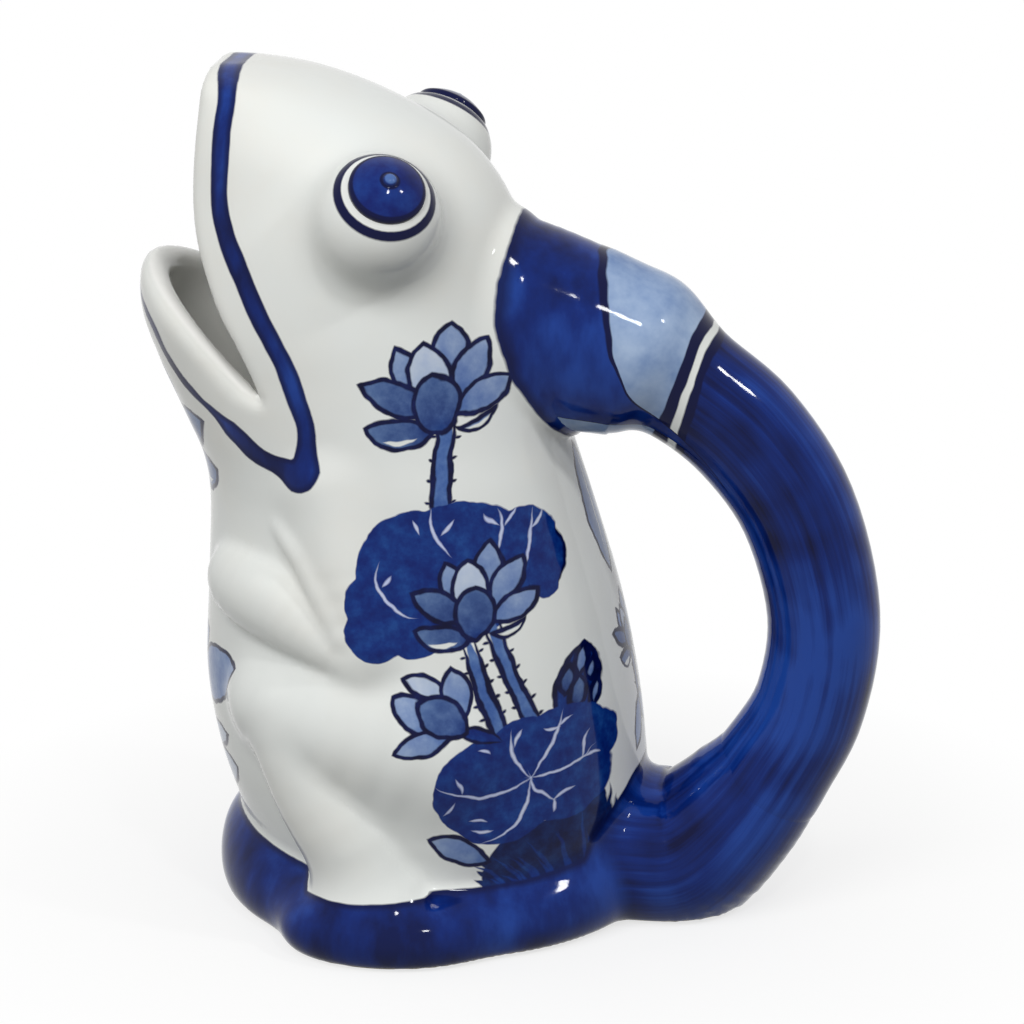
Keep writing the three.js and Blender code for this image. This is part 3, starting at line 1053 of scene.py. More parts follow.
    def side(self) -> list[Stroke]:
        """Draws the painting of the body's side: flower over leaf over buds and grass.

        Returns:
            The strokes.
        """
        drawn = self.stem((12.6, 118), (13.4, 152), 0.6, 2.1, 6)
        drawn += self.flower(Place(11.8, 147, 1.04))
        drawn += self.high_leaf()
        drawn += self.stem((32.5, 58), (20, 92), 1.0, 1.7, 8)
        drawn += self.stem((41, 60), (25.5, 96), 1.0, 1.7, 8)
        drawn += self.flower(Place(23, 91.5, 0.9, -2))
        drawn += self.tight_bud(Place(46.5, 67))
        drawn += self.grass()
        drawn += self.low_leaf()
        drawn.append(Stroke((27, 26.5), (10, 34.8), 4.5, 4.3, Tone.WASH, True))
        return drawn

    def front(self) -> list[Stroke]:
        """Draws the chest's flower, and the flower and leaves between the knees.

        Returns:
            The strokes.
        """
        drawn = self.stem((0, 100), (0, 130), 0, 1.6, 5)
        drawn += self.flower(Place(-2, 127, 1.3))
        drawn += self.lobes(((-14, 30, 15, 33, 12),))
        for tip in ((-10, 36), (9, 39), (-2, 41), (12, 30)):
            drawn.append(hair((0, 28), tip, 0.6, 1.0, Tone.BARE))
        petals = (
            ((8, 60), (39, 75), 8.5, Tone.WASH),
            ((10, 36), (31, 43), 5.5, Tone.PALE),
            ((12, 46), (30, 52), 4, Tone.PALE),
        )
        for hand in (-1, 1):
            for base, tip, half, tone in petals:
                drawn.append(Stroke((hand * base[0], base[1]), (hand * tip[0], tip[1]), half, half, tone, True))
        drawn += self.flower(Place(0, 66, 1.1, 0, -1))
        return drawn

    def back(self) -> list[Stroke]:
        """Draws the leaf, and the flower with its two small leaves, down the back.

        Returns:
            The strokes.
        """
        drawn = [Stroke((0, 134), (-2, 96), 8, 7, Tone.WASH, True)]
        drawn.append(hair((0, 130), (-1.4, 102), 0.6, 0.9, Tone.BARE))
        drawn += self.stem((0, 56), (0, 76), 0, 1.4, 4)
        drawn += self.flower(Place(0, 74, 0.62))
        for base, tip in (((1, 62), (-9, 46)), ((-1, 62), (10, 48))):
            drawn.append(Stroke(base, tip, 4, 4, Tone.WASH, True))
        return drawn


@dataclass(frozen=True)
class Glaze:
    """Clear gloss glaze over fired earthenware: wet-looking and faintly wavy, with grit where the clay is bare."""

    name: str
    ior: float = 1.25
    gloss: float = 0.05
    gloss_spread: Pair = (-0.02, 0.05)
    ripple_mm: float = 9.0
    ripple_depth: float = 0.05
    ripple_rise_mm: float = 2.0
    grit_mm: float = 0.8
    grit_depth: float = 0.3
    grit_rise_mm: float = 0.3
    bare_roughness: float = 0.85

    def tree(self) -> tuple[bpy.types.Material, Tree]:
        """Starts the material with an empty tree.

        Returns:
            The material and its tree.
        """
        made = bpy.data.materials.new(self.name)
        made.use_nodes = True
        made.node_tree.nodes.clear()
        return made, made.node_tree

    def finish(self, tree: Tree, colour: Socket, matt: Socket | None = None) -> None:
        """Adds the glaze's gloss and ripple over a colour.

        Args:
            tree: The material's tree.
            colour: What the painter left under the glaze.
            matt: Where the clay is bare, from 0 to 1.
        """
        spot = add_node(tree, "ShaderNodeTexCoord").outputs["Object"]
        waves = {"Vector": spot, "Scale": 1 / (self.ripple_mm * MM), "Detail": 1.5}
        ripple = add_node(tree, "ShaderNodeTexNoise", waves).outputs["Fac"]
        bump = {"Height": ripple, "Strength": self.ripple_depth, "Distance": self.ripple_rise_mm * MM}
        normal = add_node(tree, "ShaderNodeBump", bump).outputs["Normal"]
        low, high = (self.gloss + spread for spread in self.gloss_spread)
        gloss = add_node(tree, "ShaderNodeMapRange", {"Value": ripple, "To Min": low, "To Max": high}).outputs["Result"]
        if matt is not None:
            grains = {"Vector": spot, "Scale": 1 / (self.grit_mm * MM), "Detail": 3.0}
            grit = add_node(tree, "ShaderNodeTexNoise", grains).outputs["Fac"]
            rough = add_node(tree, "ShaderNodeMix", {"Factor": matt, "A": gloss, "B": self.bare_roughness})
            gloss = rough.outputs["Result"]
            depth = add_node(tree, "ShaderNodeMath", {0: matt, 1: self.grit_depth}, operation="MULTIPLY").outputs[0]
            bump = {"Height": grit, "Strength": depth, "Distance": self.grit_rise_mm * MM, "Normal": normal}
            normal = add_node(tree, "ShaderNodeBump", bump).outputs["Normal"]
        looks = {"Base Color": colour, "Roughness": gloss, "Normal": normal, "IOR": self.ior}
        shader = add_node(tree, "ShaderNodeBsdfPrincipled", looks)
        add_node(tree, "ShaderNodeOutputMaterial", {"Surface": shader.outputs["BSDF"]})


@dataclass(frozen=True)
class CobaltWash:
    """Cobalt brushed on before glazing: deep where the brush rested, thin where it ran dry."""

    deep: str = "#01083A"
    full: str = "#062570"
    thin: str = "#1D459C"
    mark_share: float = 0.62
    pool_mm: float = 28.0
    span: Pair = (0.6, 1.02)
    dab_mm: Triple = (7, 7, 18)
    dab_contrast: float = 0.75
    grip_mm: Triple = (60, 2.2, 2.2)
    grip_contrast: float = 1.0
    grip_round: Triple = (1.0, 0.016, 0.016)

    def colour(self, tree: Tree, spot: Socket, streak_mm: Triple, contrast: float) -> Socket:
        """Adds the wash's colour.

        Args:
            tree: The material's tree.
            spot: The coordinates that the brush follows, in m.
            streak_mm: Size of the brush marks along each axis.
            contrast: How strongly they show, from 0 to 1.

        Returns:
            The colour.
        """
        scale = tuple(1 / (s * MM) for s in streak_mm)
        stretched = add_node(tree, "ShaderNodeMapping", {"Vector": spot, "Scale": scale}).outputs["Vector"]
        streaks = {"Vector": stretched, "Scale": 1.0, "Detail": 4.0, "Roughness": 0.55}
        marks = add_node(tree, "ShaderNodeTexNoise", streaks).outputs["Fac"]
        patches = {"Vector": spot, "Scale": 1 / (self.pool_mm * MM), "Detail": 2.0}
        pools = add_node(tree, "ShaderNodeTexNoise", patches).outputs["Fac"]
        total = add_node(tree, "ShaderNodeMath", {0: marks, 1: self.mark_share, 2: pools}, operation="MULTIPLY_ADD")
        spread = {"To Min": 0.5 - contrast / 2, "To Max": 0.5 + contrast / 2}
        spread |= {"Value": total.outputs[0], "From Min": self.span[0], "From Max": self.span[1]}
        level = add_node(tree, "ShaderNodeMapRange", spread)
        ramp = add_node(tree, "ShaderNodeValToRGB", {"Fac": level.outputs["Result"]})
        ramp.color_ramp.elements[0].color = linear(self.deep)
        ramp.color_ramp.elements[1].color = linear(self.thin)
        ramp.color_ramp.elements.new(0.5).color = linear(self.full)
        return ramp.outputs["Color"]

    def dabbed(self, tree: Tree, spot: Socket) -> Socket:
        """Adds the wash's colour with the short marks of the skirt and the collar."""
        return self.colour(tree, spot, self.dab_mm, self.dab_contrast)

    def along_grip(self, tree: Tree) -> Socket:
        """Adds the wash's colour with long marks that follow the handle.

        Args:
            tree: The material's tree.

        Returns:
            The colour.
        """
        stroke = add_node(tree, "ShaderNodeAttribute", attribute_name="stroke").outputs["Vector"]
        scaled = {0: stroke, 1: self.grip_round}
        brushed = add_node(tree, "ShaderNodeVectorMath", scaled, operation="MULTIPLY").outputs[0]
        return self.colour(tree, brushed, self.grip_mm, self.grip_contrast)


def lay_ring(
    tree: Tree, radius: Socket, ring: Pair, tone: Tone, under: Socket, sharp: float = 3.0
) -> Socket:
    """Lays a painted ring over a colour.

    Args:
        tree: The material's tree.
        radius: Distance from the ring's axis, in mm.
        ring: Radius of the ring's middle and half its width, in mm.
        tone: Its paint.
        under: The colour so far.
        sharp: How fast the paint ends, per mm.

    Returns:
        The colour with the ring.
    """
    middle, half = ring
    away = add_node(tree, "ShaderNodeMath", {0: radius, 1: middle}, operation="SUBTRACT").outputs[0]
    size = add_node(tree, "ShaderNodeMath", {0: away}, operation="ABSOLUTE").outputs[0]
    fade = {0: size, 1: -sharp, 2: sharp * half + 0.5}
    cover = add_node(tree, "ShaderNodeMath", fade, operation="MULTIPLY_ADD", use_clamp=True).outputs[0]
    layers = {"Factor": cover, 6: under, 7: linear(tone.value)}
    return add_node(tree, "ShaderNodeMix", layers, data_type="RGBA").outputs[2]


@dataclass
class BrushGroups:
    """The two node groups that lay one brush shape over what is already painted."""

    arcs: tuple[str, ...] = ("Left", "Right", "Trim")
    line_mm: float = 1.25
    soft_mm: float = 0.2
    run_out: float = 1.15

    def __post_init__(self) -> None:
        """Builds both groups."""
        self.sharp = 1 / (2 * self.soft_mm)
        self.petal = self.build("brush_petal", True)
        self.stroke = self.build("brush_stroke", False)

    def build(self, name: str, outlined: bool) -> Tree:
        """Builds one group.

        Args:
            name: The group's name.
            outlined: Whether the shape has a dark outline and a round trim.

        Returns:
            The group.
        """
        tree = bpy.data.node_groups.new(name, "ShaderNodeTree")
        sides = self.arcs if outlined else self.arcs[:2]
        slots = [("Point", "Vector"), ("Under", "Color"), ("Hand", "Float"), ("Paint", "Color")]
        slots += [slot for side in sides for slot in ((side, "Vector"), (side + " Radius", "Float"))]
        slots += [("Length", "Float"), ("Thin", "Color")] if outlined else []
        for label, kind in slots:
            tree.interface.new_socket(label, in_out="INPUT", socket_type="NodeSocket" + kind)
        tree.interface.new_socket("Colour", in_out="OUTPUT", socket_type="NodeSocketColor")
        given = add_node(tree, "NodeGroupInput").outputs
        gaps = []
        paint = given["Paint"]
        for side in sides:
            ends = {0: given["Point"], 1: given[side]}
            far = add_node(tree, "ShaderNodeVectorMath", ends, operation="DISTANCE").outputs["Value"]
            if side == "Trim":
                share = add_node(tree, "ShaderNodeMath", {0: far, 1: given["Length"]}, operation="DIVIDE")
                thinned = {"Factor": share.outputs[0], 6: paint, 7: given["Thin"]}
                paint = add_node(tree, "ShaderNodeMix", thinned, data_type="RGBA").outputs[2]
            gap = add_node(tree, "ShaderNodeMath", {0: far, 1: given[side + " Radius"]}, operation="SUBTRACT")
            if side == "Right":
                gap = add_node(tree, "ShaderNodeMath", {0: gap.outputs[0], 1: given["Hand"]}, operation="MULTIPLY")
            gaps.append(gap.outputs[0])
        outside = gaps[0]
        for gap in gaps[1:]:
            outside = add_node(tree, "ShaderNodeMath", {0: outside, 1: gap}, operation="MAXIMUM").outputs[0]
        colour = given["Under"]
        layers = [(0.0, linear(Tone.LINE.value)), (self.line_mm, paint)] if outlined else [(0.0, paint)]
        for inward, tint in layers:
            # The mix clamps this cover itself. A clamp here would overrun the renderer's stack.
            fade = {0: outside, 1: -self.sharp, 2: 0.5 - inward * self.sharp}
            cover = add_node(tree, "ShaderNodeMath", fade, operation="MULTIPLY_ADD")
            mixed = {"Factor": cover.outputs[0], 6: colour, 7: tint}
            colour = add_node(tree, "ShaderNodeMix", mixed, data_type="RGBA").outputs[2]
        add_node(tree, "NodeGroupOutput", {0: colour})
        return tree

    def lay(self, tree: Tree, shape: Stroke, spot: Socket, under: Socket) -> Socket:
        """Lays one shape over the painting so far.

        Args:
            tree: The material's tree.
            shape: The brush shape.
            spot: The point on the painted plane, in mm.
            under: The painting so far.

        Returns:
            The painting with the shape.
        """
        centres, radii, hand = shape.discs()
        values = {"Point": spot, "Under": under, "Hand": hand, "Paint": linear(shape.tone.value)}
        sides = self.arcs if shape.outlined else self.arcs[:2]
        for side, centre, radius in zip(sides, centres, radii):
            values |= {side: (float(centre[0]), float(centre[1]), 0.0), side + " Radius": radius}
        if shape.outlined:
            length = math.dist(shape.base, shape.tip)
            values |= {"Length": self.run_out * length, "Thin": linear(shape.tone.thinned())}
        group = self.petal if shape.outlined else self.stroke
        return add_node(tree, "ShaderNodeGroup", values, node_tree=group).outputs["Colour"]


class Panel(Enum):
    """The stretches of the body that are painted on their own, as turn from the front and height."""

    PLAIN = (0, 0, 0, 0)
    SIDE_HIGH = (50, 163, 125, 182)
    SIDE_MID = (50, 163, 77, 125)
    SIDE_LOW = (50, 163, 9, 77)
    FRONT = (0, 50, 12, 163)
    BACK = (163, 181, 12, 145)


@dataclass
class BodyFinish:
    """White glaze with the lotus painting, the cobalt areas and the bare foot."""

    shift: float
    panel: Panel
    groups: BrushGroups
    wash: CobaltWash = CobaltWash()
    white: str = "#E6E9E6"
    warm: str = "#E6E2D8"
    # Brighter than the outer white: painted light that lifts the shade inside the mouth and the throat.
    inner: str = "#F8F8F4"
    clay: str = "#CFC3AE"
    wobble_mm: float = 7.0
    wobble_reach_mm: float = 2.4
    overlap_mm: float = 3.0
    patch_mm: float = 55.0
    patch_span: Pair = (0.45, 1.1)
    dapple_mm: float = 4.5
    dapple_span: Pair = (0.3, 0.7)
    dapple_power: Pair = (0.78, 1.22)
    inside_lift_fade_mm: float = 3.0
    ragged_mm: float = 12.0
    ragged_reach: float = 1.3
    edge_sharp: float = 2.2
    edge_start: float = -0.95
    rim_span: Pair = (1.4, 2.6)
    rim_strength: float = 0.75
    eye_ring: Pair = (12.8, 0.9)

    def plane(self, tree: Tree, spot: Socket) -> Socket:
        """Lays the panel out flat, as it is seen from its own side.

        Args:
            tree: The material's tree.
            spot: Object coordinates in m.

        Returns:
            The point on the plane in mm, with the wobble of a hand-held brush.
        """
        shaken = {"Vector": spot, "Scale": 1 / (self.wobble_mm * MM), "Detail": 2.0}
        wobble = add_node(tree, "ShaderNodeTexNoise", shaken).outputs["Color"]
        centred = add_node(tree, "ShaderNodeVectorMath", {0: wobble, 1: (0.5, 0.5, 0.5)}, operation="SUBTRACT")
        reach = {0: centred.outputs[0], "Scale": self.wobble_reach_mm}
        drift = add_node(tree, "ShaderNodeVectorMath", reach, operation="SCALE")
        grown = add_node(tree, "ShaderNodeVectorMath", {0: spot, "Scale": 1 / MM}, operation="SCALE")
        moved = add_node(tree, "ShaderNodeVectorMath", {0: grown.outputs[0], 1: drift.outputs[0]}, operation="ADD")
        parts = add_node(tree, "ShaderNodeSeparateXYZ", {0: moved.outputs[0]}).outputs
        across = parts["Y"]
        if self.panel not in (Panel.FRONT, Panel.BACK):
            across = add_node(tree, "ShaderNodeMath", {0: parts["X"], 1: self.shift}, operation="SUBTRACT").outputs[0]
        return add_node(tree, "ShaderNodeCombineXYZ", {"X": across, "Y": parts["Z"]}).outputs[0]

    def shapes(self) -> list[Stroke]:
        """Picks the brush shapes that touch this panel.

        Returns:
            The shapes, from back to front.
        """
        painting = LotusPainting()
        if self.panel is Panel.PLAIN:
            return []
        if self.panel in (Panel.FRONT, Panel.BACK):
            return painting.front() if self.panel is Panel.FRONT else painting.back()
        _, _, low, high = self.panel.value
        return [s for s in painting.side() if s.touches(low - self.overlap_mm, high + self.overlap_mm)]

    def ground(self, tree: Tree, spot: Socket) -> Socket:
        """Adds the white glaze, a little warmer in patches.

        Args:
            tree: The material's tree.
            spot: Object coordinates in m.

        Returns:
            The colour.
        """
        patches = {"Vector": spot, "Scale": 1 / (self.patch_mm * MM), "Detail": 3.0}
        tint = add_node(tree, "ShaderNodeTexNoise", patches).outputs["Fac"]
        low, high = self.patch_span
        warmth = add_node(tree, "ShaderNodeMapRange", {"Value": tint, "From Min": low, "From Max": high})
        glazes = {"Factor": warmth.outputs["Result"], 6: linear(self.white), 7: linear(self.warm)}
        return add_node(tree, "ShaderNodeMix", glazes, data_type="RGBA").outputs[2]

    def dappled(self, tree: Tree, spot: Socket, colour: Socket) -> Socket:
        """Makes the paint uneven, as cobalt is under a glaze, and leaves the white as it is.

        Args:
            tree: The material's tree.
            spot: Object coordinates in m.
            colour: The painting.

        Returns:
            The uneven painting.
        """
        specks = {"Vector": spot, "Scale": 1 / (self.dapple_mm * MM), "Detail": 3.0, "Roughness": 0.6}
        dapple = add_node(tree, "ShaderNodeTexNoise", specks).outputs["Fac"]
        spread = {"Value": dapple, "From Min": self.dapple_span[0], "From Max": self.dapple_span[1]}
        spread |= {"To Min": self.dapple_power[0], "To Max": self.dapple_power[1]}
        power = add_node(tree, "ShaderNodeMapRange", spread).outputs["Result"]
        white = linear(self.white)
        share = {"Factor": 1.0, 6: colour, 7: white}
        paint = add_node(tree, "ShaderNodeMix", share, data_type="RGBA", blend_type="DIVIDE").outputs[2]
        paint = add_node(tree, "ShaderNodeGamma", {"Color": paint, "Gamma": power}).outputs["Color"]
        share = {"Factor": 1.0, 6: paint, 7: white}
        return add_node(tree, "ShaderNodeMix", share, data_type="RGBA", blend_type="MULTIPLY").outputs[2]

    def cobalt(self, tree: Tree, spot: Socket, colour: Socket) -> Socket:
        """Lays the cobalt areas and the stripe over a colour, with ragged dark edges.

        Args:
            tree: The material's tree.
            spot: Object coordinates in m.
            colour: The colour so far.

        Returns:
            The colour with the cobalt.
        """
        tears = {"Vector": spot, "Scale": 1 / (self.ragged_mm * MM), "Detail": 2.0}
        ragged = add_node(tree, "ShaderNodeTexNoise", tears).outputs["Fac"]
        inside, aside, half, rooted = (
            add_node(tree, "ShaderNodeAttribute", attribute_name=name).outputs["Fac"]
            for name in ("cobalt", "aside", "half", "rooted")
        )
        aside = add_node(tree, "ShaderNodeMath", {0: aside}, operation="ABSOLUTE").outputs[0]
        stripe = add_node(tree, "ShaderNodeMath", {0: half, 1: aside}, operation="SUBTRACT").outputs[0]
        inside = add_node(tree, "ShaderNodeMath", {0: inside, 1: stripe}, operation="MAXIMUM").outputs[0]
        torn = {0: ragged, 1: self.ragged_reach, 2: inside}
        edge = add_node(tree, "ShaderNodeMath", torn, operation="MULTIPLY_ADD").outputs[0]
        fade = {0: edge, 1: self.edge_sharp, 2: self.edge_start}
        cover = add_node(tree, "ShaderNodeMath", fade, operation="MULTIPLY_ADD", use_clamp=True).outputs[0]
        fade = {"Value": edge, "From Min": self.rim_span[0], "From Max": self.rim_span[1]}
        fade |= {"To Min": self.rim_strength, "To Max": 0.0}
        rim = add_node(tree, "ShaderNodeMapRange", fade).outputs["Result"]
        washes = {"Factor": rooted, 6: self.wash.dabbed(tree, spot), 7: self.wash.along_grip(tree)}
        blue = add_node(tree, "ShaderNodeMix", washes, data_type="RGBA").outputs[2]
        layers = {"Factor": rim, 6: blue, 7: linear(Tone.LINE.value)}
        inked = add_node(tree, "ShaderNodeMix", layers, data_type="RGBA").outputs[2]
        layers = {"Factor": cover, 6: colour, 7: inked}
        return add_node(tree, "ShaderNodeMix", layers, data_type="RGBA").outputs[2]

    def material(self) -> bpy.types.Material:
        """Builds the material of one panel.

        Returns:
            The material.
        """
        glaze = Glaze("glazed_earthenware_" + self.panel.name.lower())
        made, tree = glaze.tree()
        spot = add_node(tree, "ShaderNodeTexCoord").outputs["Object"]
        colour = self.ground(tree, spot)
        point = self.plane(tree, spot)
        for shape in self.shapes():
            colour = self.groups.lay(tree, shape, point, colour)
        colour = self.dappled(tree, spot, colour)
        outer, eye, foot = (
            add_node(tree, "ShaderNodeAttribute", attribute_name=name).outputs["Fac"]
            for name in ("outer", "eye", "unglazed")
        )
        # Inside the wall the painting gives way to the brighter inner white, which is painted light that lightens the
        # shaded hollow.
        fade = {0: outer, 1: 1.0, 2: self.inside_lift_fade_mm}
        shown = add_node(tree, "ShaderNodeMath", fade, operation="MULTIPLY_ADD", use_clamp=True).outputs[0]
        layers = {"Factor": shown, 6: linear(self.inner), 7: colour}
        colour = add_node(tree, "ShaderNodeMix", layers, data_type="RGBA").outputs[2]
        colour = self.cobalt(tree, spot, colour)
        colour = lay_ring(tree, eye, self.eye_ring, Tone.LINE, colour)
        layers = {"Factor": foot, 6: colour, 7: linear(self.clay)}
        colour = add_node(tree, "ShaderNodeMix", layers, data_type="RGBA").outputs[2]
        glaze.finish(tree, colour, foot)
        return made


@dataclass
class GlazedBody:
    """The frog itself: vessel, limbs, feet, eye mounds, plinth and the roots of the handle in one glazed skin."""

    clay: ClayBody
    shift: float
    step: float = 1.6
    # The box that the skin is looked for in: lowest and highest x and z, and half the width.
    low: Pair = (-83, -3)
    high: Pair = (130, 241)
    half: float = 73.0
    # The stripe along the mouth and over the nose: reach to the back, height and half width.
    stripe: Rows = (
        (-52.7, 240, 4), (-49, 232.6, 3.3), (-49.2, 223.6, 3.3), (-49, 214, 3.3), (-48.7, 204.4, 3.3),
        (-46.5, 196.7, 3.3), (-43.1, 189.8, 3.3), (-36.6, 176.7, 3.3), (-29.3, 163.2, 3.4), (-25.9, 153.9, 3.5),
        (-23.8, 146.9, 4), (-24, 139.6, 4.3), (-25.8, 134.5, 4.3), (-31.2, 135.2, 4), (-37.9, 136.9, 3.6),
        (-43.7, 141.1, 3.1), (-49, 145, 1.5), (-52.2, 147.3, 0.9), (-56.7, 150.1, 0.8), (-61.7, 153.8, 0.8),
        (-67.2, 160.3, 0.8), (-70.4, 166, 0.8), (-75, 171.5, 0.8), (-80, 177, 0.8),
    )
    stripe_steps: int = 4
    stripe_thins: float = 60.0
    stripe_grow: Pair = (1.0, 0.4)
    # Where the cobalt ends: how steeply, how far past the handle's roots, and how deep into the mouth.
    cobalt_slope: float = 0.8
    root_top: float = 70.0
    root_grow: float = 5.0
    collar_grow: float = -2.0
    inside_slope: float = 1.4
    inside_depth: float = 2.2
    # Where the brush marks of the handle run out on the skirt.
    stroke_row: float = 8.0
    root_fade: float = 5.0
    root_limit: float = 90.0
    # How the ring round the eye stays on its mound.
    eye_depth: float = 9.0
    eye_fade: float = 4.0
    # The bare foot and its recess, and how deep a panel's painting goes.
    foot_height: float = 0.9
    recess_depth: float = -6.5
    recess_height: float = 5.0
    panel_depth: float = -3.5

    def cobalt(self, p: np.ndarray) -> np.ndarray:
        """Measures how far points lie inside the cobalt areas of the body.

        Args:
            p: Points in mm.

        Returns:
            Depth in mm, negative outside.
        """
        clay = self.clay
        folded = fold_over(p)
        skin = clay.core(p)
        limbs = skin.copy()
        for beads, _ in clay.limbs:
            limbs = np.minimum(limbs, bead_chain(folded, beads))
        base = self.cobalt_slope * (limbs - np.minimum(clay.skirt(p), clay.feet(folded)))
        grow = np.where(p[:, 2] < self.root_top, self.root_grow, self.collar_grow)
        handle = self.cobalt_slope * (skin - clay.stubs(p)) + grow
        return np.minimum(np.maximum(base, handle), self.outside(p))

    def outside(self, p: np.ndarray) -> np.ndarray:
        """Depth in mm inside the paint's limit at the edge of the mouth."""
        return self.inside_slope * (self.clay.core(p) + self.inside_depth)

    def band(self, p: np.ndarray) -> tuple[np.ndarray, np.ndarray]:
        """Measures the stripe that runs along the mouth and over the nose.

        Args:
            p: Points in mm.

        Returns:
            Signed distances from the stripe's middle, and its half width there.
        """
        line = through(self.stripe, self.stripe_steps)
        gap, place, offset = along_line(p[:, 0], p[:, 2], line[:, :2])
        grow = np.where(place < self.stripe_thins, *self.stripe_grow)
        half = np.interp(place, np.arange(len(line)), line[:, 2]) + grow
        return np.copysign(gap, offset), np.minimum(half, self.outside(p))

    def eye(self, p: np.ndarray) -> np.ndarray:
        """Measures the distance from the eye's axis on its mound.

        Args:
            p: Points in mm.

        Returns:
            Distances in mm, and more than that below the mound.
        """
        away = fold_over(p) - np.array(self.clay.eye_centre)
        along = away @ self.clay.eye_axis
        radial = np.linalg.norm(away - along[:, None] * self.clay.eye_axis, axis=1)
        return radial + self.eye_fade * np.maximum(0, -along - self.eye_depth)

    def rooted(self, p: np.ndarray) -> np.ndarray:
        """Tells where the handle's brush marks show on the skirt.

        Args:
            p: Points in mm.

        Returns:
            Their share, from 0 to 1.
        """
        gap = self.clay.skirt(p) - self.clay.handle.distance(p, *self.clay.root_rows)
        return np.where(p[:, 2] > self.root_limit, 0, np.clip(0.5 + gap / self.root_fade, 0, 1))

    def build(self) -> bpy.types.Object:
        """Builds the skin, stores what its finish reads and gives each panel its own finish.

        Returns:
            The piece.
        """
        points, faces = SurfaceNet(self.clay, self.low, self.high, self.half, self.step).mesh()
        skin = self.clay.core(points)
        middle, long, wide = self.clay.body.sizes(points[:, 2])
        turn = np.degrees(np.arctan2(np.abs(points[:, 1]) / wide, (middle - points[:, 0]) / long))
        recess = (skin < self.recess_depth) & (points[:, 2] < self.recess_height)
        aside, half = self.band(points)
        kept = {
            "outer": skin,
            "cobalt": self.cobalt(points),
            "aside": aside,
            "half": half,
            "eye": self.eye(points),
            "unglazed": ((points[:, 2] < self.foot_height) | recess).astype(float),
            "stroke": self.clay.handle.strokes(points, self.stroke_row),
            "rooted": self.rooted(points),
        }
        points[:, 0] += self.shift
        piece = mesh_object("glazed_body", points, faces)
        for name, values in kept.items():
            store(piece, name, values)
        groups = BrushGroups()
        chosen = np.zeros(len(faces), int)
        facing, height, depth = (values[faces].mean(axis=1) for values in (turn, points[:, 2], skin))
        for number, panel in enumerate(Panel):
            first, last, low, high = panel.value
            here = (facing >= first) & (facing < last) & (height >= low) & (height < high)
            chosen[here & (depth > self.panel_depth)] = number
            piece.data.materials.append(BodyFinish(self.shift, panel, groups).material())
        piece.data.polygons.foreach_set("material_index", chosen)
        return piece


